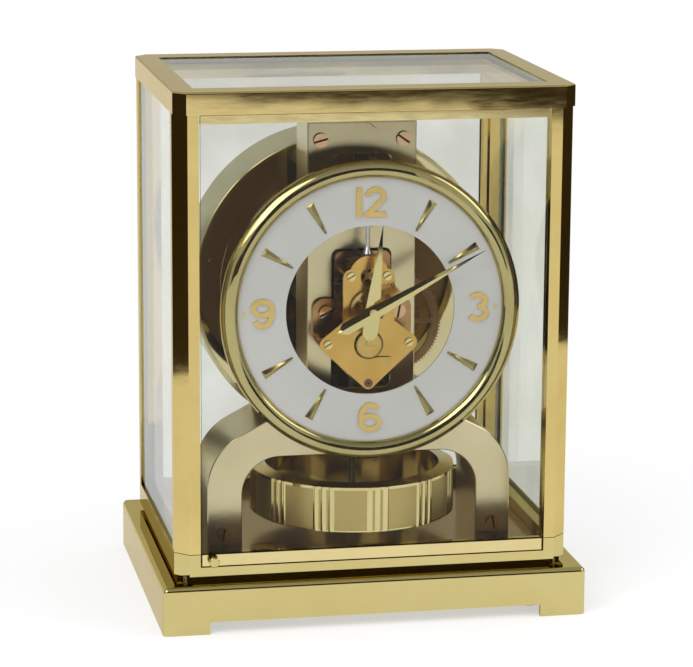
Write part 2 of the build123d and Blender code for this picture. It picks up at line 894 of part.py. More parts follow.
# Front door: a frameless pane between two brass rails, on pins at its right edge
door_half_width = notch - door_side_gap
door_front = -half_cage_depth + door_front_inset
rail_bottom = strip_top + door_sill_gap
bottom_rail_top = rail_bottom + door_bottom_rail_height
door_top = cap_bottom - door_cap_gap
top_rail_bottom = door_top - door_top_rail_height
pane_front = door_front + door_glass_inset
pane_back = pane_front + door_glass_thickness
with BuildPart() as door_bottom_rail:
    block(-door_half_width, door_half_width, door_front, door_front + door_bottom_rail_depth,
          rail_bottom, bottom_rail_top)
    block(-door_half_width, door_half_width, pane_front - door_groove_clearance,
          pane_back + door_groove_clearance, bottom_rail_top - door_rail_grip, bottom_rail_top, Mode.SUBTRACT)
    upright(pin_x, pin_y, door_pin_radius, strip_top - door_pin_length + door_pin_clearance, rail_bottom)
save(door_bottom_rail, "door_bottom_rail")

with BuildPart() as door_top_rail:
    block(-door_half_width, door_half_width, door_front, door_front + door_top_rail_depth,
          top_rail_bottom, door_top)
    block(-door_half_width, door_half_width, pane_front - door_groove_clearance,
          pane_back + door_groove_clearance, top_rail_bottom, top_rail_bottom + door_rail_grip, Mode.SUBTRACT)
    upright(pin_x, pin_y, door_pin_radius, door_top, cap_bottom + door_pin_length - door_pin_clearance)
save(door_top_rail, "door_top_rail")

with BuildPart() as door_glass:
    block(-door_half_width, door_half_width, pane_front, pane_back,
          bottom_rail_top - door_rail_grip, top_rail_bottom + door_rail_grip)
save(door_glass, "door_glass")

knob_x = -(door_half_width - knob_inset)
knob_z = (rail_bottom + bottom_rail_top) / 2
knob_front = door_front - knob_neck_length - knob_length
with BuildPart() as door_knob:
    disc(knob_x, knob_z, knob_radius, knob_front + knob_length, knob_front)
    fillet(door_knob.faces().sort_by(Axis.Y)[0].edges(), knob_round)
    disc(knob_x, knob_z, knob_neck_radius, door_front, knob_front + knob_length)
save(door_knob, "door_knob")

# Spirit level: a round brass cup that stands on the floor, with its domed glass
level_top = floor_top + level_height
with BuildPart() as spirit_level:
    upright(level_x, level_y, level_radius, floor_top, level_top)
    upright(level_x, level_y, level_radius - level_wall, level_top - level_cup_depth, level_top,
            Mode.SUBTRACT)
    upright(level_x, level_y, level_radius - 2 * level_wall, level_top - level_cup_depth,
            level_top - level_cup_depth + level_glass_height)
save(spirit_level, "spirit_level")

# Arch bracket: legs, crossbar and the two pillars with their front webs, in one piece
slope = math.radians(arch_slope_angle)
shoulder_x = arch_half_width - arch_shoulder_radius
slope_x = shoulder_x + arch_shoulder_radius * math.sin(slope)
slope_z = arch_shoulder_height + arch_shoulder_radius * math.cos(slope)
arch_top = slope_z + (slope_x - column_half_width) * math.tan(slope)
arch_inner_half_width = arch_half_width - arch_leg_width
leg_screw_x = arch_half_width - leg_screw_inset
leg_screw_z = floor_top + leg_screw_height
leg_screws = [(-leg_screw_x, leg_screw_z), (leg_screw_x, leg_screw_z)]
bridge_screws = [(-bridge_screw_x, bridge_screw_z), (bridge_screw_x, bridge_screw_z)]
movement_screws = [(-movement_screw_x, movement_screw_z), (movement_screw_x, movement_screw_z)]
with BuildPart() as arch_bracket:
    with BuildSketch(facing(arch_back)):
        with BuildLine():
            Line((0, floor_top), (arch_half_width, floor_top))
            Line((arch_half_width, floor_top), (arch_half_width, arch_shoulder_height))
            CenterArc((shoulder_x, arch_shoulder_height), arch_shoulder_radius, 0, 90 - arch_slope_angle)
            Line((slope_x, slope_z), (column_half_width, arch_top))
            Line((column_half_width, arch_top), (0, arch_top))
            mirror(about=Plane.YZ)
        make_face()
        with BuildSketch(mode=Mode.SUBTRACT) as arch_opening:
            with Locations((0, (floor_top + arch_opening_top) / 2)):
                Rectangle(2 * arch_inner_half_width, arch_opening_top - floor_top)
            fillet(arch_opening.vertices().group_by(Axis.Y)[-1], arch_inner_radius)
    extrude(amount=arch_depth)
    with BuildSketch(facing(column_back)):
        with Locations((0, (arch_opening_top + column_top) / 2)):
            Rectangle(2 * column_half_width, column_top - arch_opening_top)
    extrude(amount=pillar_depth)
    for bottom, top in (
        (lower_window_bottom, lower_window_top),
        (upper_window_bottom, upper_window_top),
    ):
        with BuildSketch(facing(column_back)):
            with Locations((0, (bottom + top) / 2)):
                RectangleRounded(2 * window_half_width, top - bottom, window_radius)
        extrude(amount=pillar_depth, mode=Mode.SUBTRACT)
    block(-window_half_width, window_half_width, web_back, column_back, lower_window_bottom + window_radius,
          column_top, Mode.SUBTRACT)
    block(-column_half_width, column_half_width, web_back, column_back, bridge_bottom, column_top,
          Mode.SUBTRACT)
    chamfer(arch_bracket.faces().sort_by(Axis.Y)[0].edges(), frame_edge_bevel)
    upright(0, balance_y, staff_hole_radius, arch_opening_top - overrun, lower_window_bottom + overrun,
            Mode.SUBTRACT)
    for x, z in bridge_screws:
        disc(x, z, frame_screw_radius + screw_fit, web_back, frame_front, Mode.SUBTRACT)
    for x, z in leg_screws + movement_screws:
        disc(x, z, frame_screw_radius + screw_fit, frame_front + frame_screw_length + screw_hole_margin,
             frame_front, Mode.SUBTRACT)
    disc(winding_x, winding_z, winding_post_radius, column_back, column_back - winding_post_seat,
         Mode.SUBTRACT)
save(arch_bracket, "arch_bracket")

# Suspension bridge: a solid block behind the top web that carries the balance
with BuildPart() as suspension_bridge:
    block(-column_half_width, column_half_width, web_back, column_back, bridge_bottom, column_top)
    upright(0, balance_y, clamp_radius + clamp_fit, bridge_bottom, column_top, Mode.SUBTRACT)
    for x, z in bridge_screws:
        disc(x, z, frame_screw_radius + screw_fit,
             frame_front + frame_screw_length + screw_hole_margin, web_back, Mode.SUBTRACT)
save(suspension_bridge, "suspension_bridge")

# Copper screws: two through the top web, two in the legs and two that hold the movement
with BuildPart() as frame_screws:
    for places, slot_angles, seat in (
        (bridge_screws, bridge_screw_slot_angles, frame_front),
        (leg_screws, leg_screw_slot_angles, frame_front),
        (movement_screws, movement_screw_slot_angles, back_plate_front),
    ):
        for (x, z), slot_angle in zip(places, slot_angles):
            slotted_screw(x, z, seat, frame_screw_head_radius, frame_screw_head_height,
                          frame_screw_radius, frame_screw_length, frame_screw_slot, frame_screw_slot_depth,
                          slot_angle)
save(frame_screws, "frame_screws")

# Suspension clamp: the stud and nut that grip the wire, and a small bent hook over the web
hook_z = column_top + hook_radius
hook_front = frame_front - hook_radius - hook_front_gap
with BuildPart() as suspension_clamp:
    upright(0, balance_y, clamp_radius, bridge_bottom - clamp_drop, column_top)
    upright(0, balance_y, clamp_nut_radius, column_top, column_top + clamp_nut_height)
    with BuildLine() as hook_path:
        FilletPolyline(
            (hook_start_x, hook_front + hook_run, hook_z),
            (hook_start_x, hook_front, hook_z),
            (hook_end_x, hook_front, hook_z - hook_drop),
            radius=hook_bend,
        )
    with BuildSketch(facing(hook_front + hook_run)):
        with Locations((hook_start_x, hook_z)):
            Circle(hook_radius)
    sweep(path=hook_path.line)
save(suspension_clamp, "suspension_clamp")

with BuildPart() as suspension_wire:
    upright(0, balance_y, wire_radius, staff_top + wire_gap, bridge_bottom - clamp_drop)
save(suspension_wire, "suspension_wire")

# Hanger rod: a stud on the middle web that carries a thin upright rod with a flared end
hanger_bottom = dome_height + dome_radius + hanger_gap
with BuildPart() as hanger_rod:
    disc(0, hanger_stud_z, hanger_stud_radius, frame_front, hanger_y - hanger_stud_radius)
    upright(0, hanger_y, hanger_radius, hanger_bottom, hanger_stud_z)
    with BuildSketch(facing(hanger_y)):
        with BuildLine():
            Polyline(
                (0, hanger_bottom),
                (hanger_flare_radius, hanger_bottom),
                (hanger_radius, hanger_bottom + hanger_flare_height),
                (0, hanger_bottom + hanger_flare_height),
                close=True,
            )
        make_face()
    revolve(axis=Axis((0, hanger_y, 0), (0, 0, 1)))
save(hanger_rod, "hanger_rod")


def crossbar(y, z, radius, left, right, mode=Mode.ADD):
    """Round bar or hole along the width of the clock."""
    with BuildSketch(Plane.YZ.offset(left)) as round_face:
        with Locations((y, z)):
            Circle(radius)
    extrude(round_face.sketch, amount=right - left, mode=mode)


# Gas drum: a shallow brass drum with a rolled front lip and an inner ledge for its cover
ledge_back = cover_back + drum_ledge_thickness
lip_radius = drum_radius - drum_lip_width
drum_inner_radius = drum_radius - drum_wall
drum_axis = Axis((0, 0, dial_height), (0, 1, 0))
with BuildPart() as drum_shell:
    with BuildSketch(Plane.XY.offset(dial_height)) as shell_profile:
        with BuildLine():
            Polyline(
                (0, drum_back),
                (drum_radius, drum_back),
                (drum_radius, drum_front),
                (lip_radius, drum_front),
                (lip_radius, cover_back),
                (lip_radius - drum_ledge_width, cover_back),
                (lip_radius - drum_ledge_width, ledge_back),
                (drum_inner_radius, ledge_back),
                (drum_inner_radius, drum_back - drum_back_thickness),
                (0, drum_back - drum_back_thickness),
                close=True,
            )
        make_face()
        fillet(shell_profile.vertices().group_by(Axis.X)[-1], drum_rounding)
    revolve(axis=drum_axis)
save(drum_shell, "drum_shell")

# Drum cover: the dark front face, with the two lugs that carry the winding rocker
rocker_z = winding_z
with BuildPart() as drum_cover:
    disc(0, dial_height, lip_radius - cover_clearance, cover_back, cover_front)
    with BuildSketch(facing(cover_front + cover_groove_depth)):
        with Locations((0, dial_height)):
            Circle(cover_groove_radius + cover_groove_width / 2)
            Circle(cover_groove_radius - cover_groove_width / 2, mode=Mode.SUBTRACT)
    extrude(amount=cover_groove_depth, mode=Mode.SUBTRACT)
    for rivet in range(cover_rivet_count):
        across, up = polar(cover_rivet_place_radius, cover_rivet_angle + rivet * 360.0 / cover_rivet_count)
        disc(across, dial_height + up, cover_rivet_radius, cover_front, cover_front - cover_rivet_height)
    disc(0, dial_height, cover_hole_radius, cover_back, cover_front, Mode.SUBTRACT)
    lug_end = lug_right + lug_width
    block(lug_left, lug_end, cover_front - lug_plate_thickness, cover_front,
          rocker_z - lug_plate_height / 2, rocker_z + lug_plate_height / 2)
    for left in (lug_left, lug_right):
        block(left, left + lug_width, rocker_y, cover_front, rocker_z - lug_radius, rocker_z + lug_radius)
        crossbar(rocker_y, rocker_z, lug_radius, left, left + lug_width)
    crossbar(rocker_y, rocker_z, rocker_radius + rocker_clearance, lug_left, lug_end, Mode.SUBTRACT)
save(drum_cover, "drum_cover")

# Spacers between the pillars and the drum, and the post that carries the winding wheel
with BuildPart() as drum_spacers:
    for x, z in ((-spacer_x, lower_spacer_z), (-spacer_x, upper_spacer_z), (spacer_x, upper_spacer_z)):
        disc(x, z, spacer_radius, cover_front, column_back)
    disc(winding_x, winding_z, winding_post_radius, winding_post_top, column_back - winding_post_seat)
save(drum_spacers, "drum_spacers")

# Bellows: a folded metal sleeve on the drum's back, ending in a plain collar
sleeve_back = drum_back - drum_back_thickness
plate_front = bellows_plate_back - bellows_plate_thickness
collar_front = plate_front - (bellows_collar_length - bellows_plate_thickness) / 2
collar_back = collar_front + bellows_collar_length
fold_length = (sleeve_back - collar_back) / bellows_folds
fold_points = [(bellows_inner_radius, collar_front), (bellows_inner_radius, collar_back)]
for fold in range(bellows_folds):
    fold_start = collar_back + fold * fold_length
    fold_points.append((bellows_outer_radius, fold_start + fold_length / 2))
    fold_points.append((bellows_inner_radius, fold_start + fold_length))
outer_points = [(radius + bellows_wall, y) for radius, y in reversed(fold_points)]
with BuildPart() as bellows_sleeve:
    with BuildSketch(Plane.XY.offset(dial_height)):
        Polygon(*(fold_points + outer_points), align=None)
    revolve(axis=drum_axis)
save(bellows_sleeve, "bellows_sleeve")

# Bellows plate with the pull rod that comes out through the drum cover
with BuildPart() as bellows_plate:
    disc(0, dial_height, bellows_inner_radius - bellows_plate_clearance, bellows_plate_back, plate_front)
    disc(0, dial_height, pull_rod_radius, plate_front, pull_bead_front)
    disc(0, dial_height, pull_bead_radius, pull_bead_front + pull_bead_length, pull_bead_front)
save(bellows_plate, "bellows_plate")

with BuildPart() as return_spring:
    disc(0, dial_height, spring_radius, plate_front - spring_gap, cover_back)
    disc(0, dial_height, spring_radius - spring_wall, plate_front - spring_gap, cover_back, Mode.SUBTRACT)
save(return_spring, "return_spring")

# Winding rocker: a forked arm and a pawl on one cross shaft
fork_root = dial_height - fork_root_drop
fork_half_width = fork_slot_width / 2 + fork_tine_width
with BuildPart() as winding_rocker:
    crossbar(rocker_y, rocker_z, rocker_radius, rocker_left, rocker_right)
    arm_front = rocker_y - rocker_arm_thickness / 2
    arm_back = rocker_y + rocker_arm_thickness / 2
    block(-rocker_arm_width / 2, rocker_arm_width / 2, arm_front, arm_back, rocker_z, fork_root)
    block(-fork_half_width, fork_half_width, arm_front, arm_back, fork_root - fork_tine_width,
          dial_height + fork_rise)
    block(-fork_slot_width / 2, fork_slot_width / 2, arm_front, arm_back, fork_root,
          dial_height + fork_rise, Mode.SUBTRACT)
    block(rocker_right - pawl_width, rocker_right, pawl_front, rocker_y + rocker_radius,
          rocker_z - pawl_height / 2, rocker_z + pawl_height / 2)
save(winding_rocker, "winding_rocker")


def direction(from_x, from_z, to_x, to_z):
    """Clock angle of the line from one arbor to another."""
    return math.degrees(math.atan2(to_x - from_x, to_z - from_z))


def mesh_turn(teeth, driver_teeth, driver_turned, towards):
    """Turn of a wheel so that its gap faces the driver's nearest tooth."""
    step = 360.0 / driver_teeth
    offset_angle = (driver_turned - towards + step / 2) % step - step / 2
    return towards + half_turn_angle - offset_angle * driver_teeth / teeth + half_turn_angle / teeth


# Winding wheel: the large spoked wheel behind the right pillar, with its drive ratchet
winding_wheel_back = winding_wheel_front + winding_wheel_thickness
winding_module = 2 * winding_pitch_radius / winding_teeth
winding_opening = winding_pitch_radius - dedendum_share * winding_module - winding_rim_width
with BuildPart() as winding_wheel:
    gear(winding_x, winding_z, winding_teeth, winding_pitch_radius, winding_wheel_back,
         winding_wheel_front, 0)
    spoke_windows(winding_x, winding_z, winding_hub_radius, winding_opening, winding_spokes,
                  winding_spoke_width, winding_wheel_back, winding_wheel_front, winding_spoke_angle)
    disc(winding_x, winding_z, winding_hub_radius, drive_ratchet_front, winding_wheel_back)
    with BuildSketch(facing(drive_ratchet_front + drive_ratchet_thickness)):
        with Locations((winding_x, winding_z)):
            Polygon(*saw_outline(drive_ratchet_teeth, drive_ratchet_radius, drive_ratchet_depth), align=None)
    extrude(amount=drive_ratchet_thickness)
    disc(winding_x, winding_z, winding_post_radius + winding_post_clearance,
         drive_ratchet_front + drive_ratchet_thickness, winding_wheel_front, Mode.SUBTRACT)
save(winding_wheel, "winding_wheel")

# Transfer arbor: carries the winding wheel's motion past the suspension wire
gear_back = frame_front + arbor_gear_gap + arbor_gear_thickness
gear_front = frame_front + arbor_gear_gap
wheel_middle = (winding_wheel_front + winding_wheel_back) / 2
gear_middle = (gear_front + gear_back) / 2
to_transfer = direction(winding_x, winding_z, transfer_x, transfer_z)
to_barrel = direction(transfer_x, transfer_z, 0, barrel_z)
rear_turn = mesh_turn(transfer_pinion_teeth, winding_teeth, 0, to_transfer)
cock_back = cock_front + cock_thickness
with BuildPart() as transfer_arbor:
    disc(transfer_x, transfer_z, transfer_radius, cock_front - end_play, frame_front + end_play)
    disc(transfer_x, transfer_z, pivot_radius, cock_back, cock_front - end_play)
    disc(transfer_x, transfer_z, pivot_radius, frame_front + end_play, frame_front - back_plate_thickness / 2)
    gear(transfer_x, transfer_z, transfer_pinion_teeth, rear_pinion_radius,
         wheel_middle + rear_pinion_thickness / 2, wheel_middle - rear_pinion_thickness / 2, rear_turn)
    gear(transfer_x, transfer_z, transfer_pinion_teeth, front_pinion_radius,
         gear_middle + front_pinion_thickness / 2, gear_middle - front_pinion_thickness / 2, rear_turn)
save(transfer_arbor, "transfer_arbor")

with BuildPart() as rear_cock:
    with BuildSketch(facing(cock_back)):
        with Locations((transfer_x, transfer_z)):
            Circle(cock_tip_radius)
        with Locations((cock_foot_x, cock_foot_z)):
            Circle(cock_foot_radius)
        make_hull()
        with Locations((transfer_x, transfer_z)):
            Circle(pivot_radius + pivot_clearance, mode=Mode.SUBTRACT)
    extrude(amount=cock_thickness)
    disc(cock_foot_x, cock_foot_z, cock_foot_radius, cock_front, column_back)
save(rear_cock, "rear_cock")

# Back plate of the movement: coppery brass, screwed to the two pillars
pillar_places = [
    (side * x, z)
    for side in (-1, 1)
    for x, z in ((shoulder_screw_x, shoulder_screw_z), (ear_screw_x, ear_screw_z))
]
with BuildPart() as back_plate:
    with BuildSketch(facing(frame_front)):
        with Locations((0, (back_plate_top + ear_bottom) / 2)):
            RectangleRounded(2 * back_plate_half_width, back_plate_top - ear_bottom, back_plate_corner)
        with Locations((0, (ear_top + ear_bottom) / 2)):
            RectangleRounded(2 * ear_half_width, ear_top - ear_bottom, ear_corner)
        with BuildSketch():
            ear_centre = ear_half_width - ear_corner
            for x, z, radius in (
                (-ear_centre, ear_bottom + ear_corner, ear_corner),
                (ear_centre, ear_bottom + ear_corner, ear_corner),
                (0, tip_height, back_plate_tip_radius),
            ):
                with Locations((x, z)):
                    Circle(radius)
            make_hull()
        for x, z in movement_screws:
            with Locations((x, z)):
                Circle(frame_screw_radius + screw_fit, mode=Mode.SUBTRACT)
        with Locations((0, barrel_z)):
            Circle(barrel_arbor_radius + pivot_clearance, mode=Mode.SUBTRACT)
        with Locations((0, pallet_z)):
            Circle(arbor_radius + pivot_clearance, mode=Mode.SUBTRACT)
        with Locations((0, dial_height), (0, escape_z), (transfer_x, transfer_z)):
            Circle(pivot_radius + pivot_clearance, mode=Mode.SUBTRACT)
    extrude(amount=back_plate_thickness)
save(back_plate, "back_plate")

# Front plate of the movement, with its round window, the minute wheel's post and the click's pin
cannon_back = front_plate_front - cannon_lift
cannon_front = cannon_back - cannon_thickness
hour_back = cannon_front - motion_layer_gap
hour_front = hour_back - hour_wheel_thickness
minute_pinion_front = hour_front - motion_layer_gap
ratchet_back = front_plate_front - ratchet_lift
ratchet_front = ratchet_back - ratchet_thickness
click_front = ratchet_back - click_thickness
with BuildPart() as front_plate:
    with BuildSketch(facing(front_plate_back)):
        with Locations((0, dome_height)):
            Circle(dome_radius)
        with Locations((-shoulder_screw_x, shoulder_screw_z), (shoulder_screw_x, shoulder_screw_z)):
            Circle(shoulder_radius)
        with Locations((0, (front_plate_waist + shoulder_screw_z) / 2)):
            Rectangle(2 * front_plate_half_width, shoulder_screw_z - front_plate_waist)
        with BuildSketch():
            for x, z, radius in (
                (-ear_screw_x, ear_screw_z, ear_radius),
                (ear_screw_x, ear_screw_z, ear_radius),
                (0, tip_height, tip_radius),
            ):
                with Locations((x, z)):
                    Circle(radius)
            with Locations((0, (front_plate_waist + ear_screw_z) / 2)):
                Rectangle(2 * front_plate_half_width, front_plate_waist - ear_screw_z)
            make_hull()
        with Locations((0, escape_z)):
            Circle(escape_window_radius, mode=Mode.SUBTRACT)
        with Locations((0, dial_height)):
            Circle(arbor_radius + pivot_clearance, mode=Mode.SUBTRACT)
        with Locations((0, pallet_z)):
            Circle(pivot_radius + pivot_clearance, mode=Mode.SUBTRACT)
        with Locations((0, barrel_z)):
            Circle(barrel_arbor_radius + pivot_clearance, mode=Mode.SUBTRACT)
        with Locations(*pillar_places):
            Circle(plate_screw_radius + screw_fit, mode=Mode.SUBTRACT)
    extrude(amount=front_plate_thickness)
    disc(0, tip_height, jewel_radius + pivot_clearance, front_plate_front + jewel_thickness,
         front_plate_front, Mode.SUBTRACT)
    with BuildSketch(facing(front_plate_front + ratchet_recess_depth)) as recess_face:
        with Locations((0, barrel_z)):
            Circle(ratchet_radius + ratchet_recess_wall)
            Circle(ratchet_radius + ratchet_recess_wall - ratchet_recess_width, mode=Mode.SUBTRACT)
    extrude(recess_face.sketch, amount=ratchet_recess_depth, mode=Mode.SUBTRACT)
    disc(minute_x, minute_z, motion_post_radius, front_plate_front, minute_pinion_front)
    disc(click_x, click_z, click_pin_radius, front_plate_front, click_front - end_play)
save(front_plate, "front_plate")

with BuildPart() as movement_pillars:
    for x, z in pillar_places:
        disc(x, z, movement_pillar_radius, back_plate_front, front_plate_back)
        disc(x, z, plate_screw_radius + screw_fit, front_plate_back + plate_screw_length,
             front_plate_back, Mode.SUBTRACT)
save(movement_pillars, "movement_pillars")

with BuildPart() as jewels:
    disc(0, tip_height, jewel_radius, front_plate_front + jewel_thickness, front_plate_front)
    disc(0, tip_height, pivot_radius, front_plate_front + jewel_thickness, front_plate_front, Mode.SUBTRACT)
save(jewels, "jewels")

# Barrel: toothed drum with the coiled mainspring inside, turning on its arbor
barrel_front = front_plate_back + barrel_wheel_gap
barrel_wheel_back = barrel_front + barrel_wheel_thickness
barrel_back = barrel_wheel_back + barrel_depth
with BuildPart() as barrel:
    disc(0, barrel_z, barrel_radius, barrel_back, barrel_wheel_back)
    disc(0, barrel_z, barrel_radius - barrel_wall, barrel_back - barrel_wall, barrel_wheel_back,
         Mode.SUBTRACT)
    gear(0, barrel_z, barrel_teeth, barrel_pitch_radius, barrel_wheel_back, barrel_front, 0)
    disc(0, barrel_z, barrel_arbor_radius + pivot_clearance, barrel_back, barrel_front, Mode.SUBTRACT)
save(barrel, "barrel")

spring_back = barrel_back - barrel_wall - mainspring_gap
spring_front = barrel_wheel_back + mainspring_gap
half_pitch = mainspring_pitch / 2
with BuildPart() as mainspring:
    with BuildSketch(facing(spring_back)):
        with BuildLine():
            for half_turn in range(2 * mainspring_turns):
                centre_x = 0 if half_turn % 2 == 0 else half_pitch
                radius = mainspring_inner_radius + half_turn * half_pitch
                start = half_turn % 2 * half_turn_angle
                CenterArc((centre_x, barrel_z), radius, start, half_turn_angle)
                CenterArc((centre_x, barrel_z), radius + mainspring_strip, start, half_turn_angle)
            Line((mainspring_inner_radius, barrel_z),
                 (mainspring_inner_radius + mainspring_strip, barrel_z))
            outer_end = mainspring_inner_radius + mainspring_turns * mainspring_pitch
            Line((outer_end, barrel_z), (outer_end + mainspring_strip, barrel_z))
        make_face()
    extrude(amount=spring_back - spring_front)
save(mainspring, "mainspring")

# Barrel arbor with the gear that the transfer arbor winds, and the ratchet wheel on its front end
arbor_turn = mesh_turn(arbor_gear_teeth, transfer_pinion_teeth, rear_turn, to_barrel)
with BuildPart() as barrel_arbor:
    disc(0, barrel_z, barrel_arbor_radius, gear_back, ratchet_back)
    gear(0, barrel_z, arbor_gear_teeth, arbor_gear_radius, gear_back, gear_front, arbor_turn)
save(barrel_arbor, "barrel_arbor")

with BuildPart() as ratchet_wheel:
    with BuildSketch(facing(ratchet_back)):
        with Locations((0, barrel_z)):
            Polygon(*saw_outline(ratchet_teeth, ratchet_radius, ratchet_depth), align=None)
    extrude(amount=ratchet_thickness)
    disc(0, barrel_z, ratchet_cap_radius, ratchet_front, ratchet_front - ratchet_cap_height)
    with BuildSketch(facing(ratchet_front - ratchet_cap_height + ratchet_slot_depth)):
        with Locations((0, barrel_z)):
            Rectangle(2 * ratchet_cap_radius + overrun, ratchet_slot_width)
    extrude(amount=ratchet_slot_depth, mode=Mode.SUBTRACT)
save(ratchet_wheel, "ratchet_wheel")

click_reach = polar(ratchet_radius + click_tip_gap + click_tip_radius, click_tip_angle)
with BuildPart() as click:
    with BuildSketch(facing(ratchet_back)):
        with Locations((click_x, click_z)):
            Circle(click_head_radius)
        with Locations((click_reach[0], barrel_z + click_reach[1])):
            Circle(click_tip_radius)
        make_hull()
        with Locations((click_x, click_z)):
            Circle(click_pin_radius + pivot_clearance, mode=Mode.SUBTRACT)
    extrude(amount=click_thickness)
save(click, "click")


def wheel_openings(x, z, pitch_radius, back, front):
    """Cut the usual openings between four spokes in a small train wheel."""
    spoke_windows(x, z, pitch_radius * wheel_hub_share, pitch_radius * wheel_rim_share, wheel_spokes,
                  pitch_radius * wheel_spoke_share, back, front, wheel_spoke_angle)


# Centre wheel with its arbor and pinion: one turn an hour
centre_back = back_plate_front - centre_wheel_gap
centre_front = centre_back - centre_wheel_thickness
pinion_turn = mesh_turn(centre_pinion_teeth, barrel_teeth, 0, 0)
with BuildPart() as centre_wheel:
    gear(0, dial_height, centre_teeth, centre_pitch_radius, centre_back, centre_front, 0)
    wheel_openings(0, dial_height, centre_pitch_radius, centre_back, centre_front)
    disc(0, dial_height, arbor_radius, back_plate_front - end_play, minute_hand_back + end_play)
    disc(0, dial_height, pivot_radius, frame_front, back_plate_front - end_play)
    gear(0, dial_height, centre_pinion_teeth, centre_pinion_radius, barrel_wheel_back + pinion_overhang,
         barrel_front - pinion_overhang, pinion_turn)
save(centre_wheel, "centre_wheel")

# Motion work: cannon pinion, minute wheel and hour wheel under the hands
cannon_turn = 0
minute_turn = mesh_turn(minute_wheel_teeth, cannon_teeth, cannon_turn, motion_angle)
hour_turn = mesh_turn(hour_teeth, minute_pinion_teeth, minute_turn, motion_angle + half_turn_angle)
with BuildPart() as cannon_pinion:
    gear(0, dial_height, cannon_teeth, cannon_radius, cannon_back, cannon_front, cannon_turn)
    disc(0, dial_height, cannon_pipe_radius, cannon_front, minute_hand_back)
    disc(0, dial_height, arbor_radius + pivot_clearance, cannon_back, minute_hand_back, Mode.SUBTRACT)
save(cannon_pinion, "cannon_pinion")

with BuildPart() as minute_wheel:
    gear(minute_x, minute_z, minute_wheel_teeth, minute_wheel_radius, cannon_back, cannon_front,
         minute_turn)
    gear(minute_x, minute_z, minute_pinion_teeth, minute_pinion_radius, cannon_front,
         minute_pinion_front, minute_turn)
    disc(minute_x, minute_z, motion_post_radius + pivot_clearance, cannon_back, minute_pinion_front,
         Mode.SUBTRACT)
save(minute_wheel, "minute_wheel")

with BuildPart() as hour_wheel:
    gear(0, dial_height, hour_teeth, hour_wheel_radius, hour_back, hour_front, hour_turn)
    spoke_windows(0, dial_height, hour_wheel_radius * (wheel_hub_share + wheel_spoke_share),
                  hour_wheel_radius * wheel_rim_share, wheel_spokes, hour_wheel_radius * wheel_spoke_share,
                  hour_back, hour_front, wheel_spoke_angle)
    disc(0, dial_height, hour_pipe_radius, hour_front, hour_hand_back)
    disc(0, dial_height, cannon_pipe_radius + pivot_clearance, hour_back, hour_hand_back, Mode.SUBTRACT)
save(hour_wheel, "hour_wheel")

# Escape wheel and its pinion
escape_back = front_plate_back + 2 * end_play + escape_wheel_thickness
escape_front = escape_back - escape_wheel_thickness
escape_turn = mesh_turn(escape_pinion_teeth, centre_teeth, 0, 0)
with BuildPart() as escape_wheel:
    with BuildSketch(facing(escape_back)):
        with Locations((0, escape_z)):
            Polygon(*saw_outline(escape_teeth, escape_radius, escape_tooth_depth), align=None)
    extrude(amount=escape_wheel_thickness)
    spoke_windows(0, escape_z, escape_hub_radius, escape_radius - escape_tooth_depth - pivot_radius,
                  wheel_spokes, escape_spoke_width, escape_back, escape_front, wheel_spoke_angle)
    disc(0, escape_z, arbor_radius, back_plate_front - end_play, escape_front - end_play)
    disc(0, escape_z, pivot_radius, frame_front, back_plate_front - end_play)
    gear(0, escape_z, escape_pinion_teeth, escape_pinion_radius, centre_back + pinion_overhang,
         centre_front - pinion_overhang, escape_turn)
save(escape_wheel, "escape_wheel")

# Pallet lever: anchor, arbor and the crutch that reaches back to the balance staff
tip_reach = polar(escape_radius + pallet_tip_gap + pallet_tip_radius, pallet_reach_angle)
crutch_front = crutch_back - crutch_thickness
crutch_bottom = pallet_z - crutch_drop
with BuildPart() as pallet_lever:
    for side in (-1, 1):
        with BuildSketch(facing(escape_back)):
            with Locations((0, pallet_z)):
                Circle(pallet_hub_radius)
            with Locations((side * tip_reach[0], escape_z + tip_reach[1])):
                Circle(pallet_tip_radius)
            make_hull()
        extrude(amount=escape_wheel_thickness)
    disc(0, pallet_z, arbor_radius, crutch_back, front_plate_back + end_play)
    disc(0, pallet_z, pivot_radius, front_plate_back + end_play, front_plate_front + jewel_thickness / 2)
    block(-crutch_width / 2, crutch_width / 2, crutch_front, crutch_back,
          crutch_bottom + crutch_width, pallet_z)
    block(-crutch_slot / 2 - crutch_width / 2, crutch_slot / 2 + crutch_width / 2, crutch_front,
          crutch_back, crutch_bottom, crutch_bottom + 2 * crutch_width)
    block(-crutch_slot / 2, crutch_slot / 2, crutch_front, crutch_back, crutch_bottom,
          crutch_bottom + crutch_width, Mode.SUBTRACT)
save(pallet_lever, "pallet_lever")

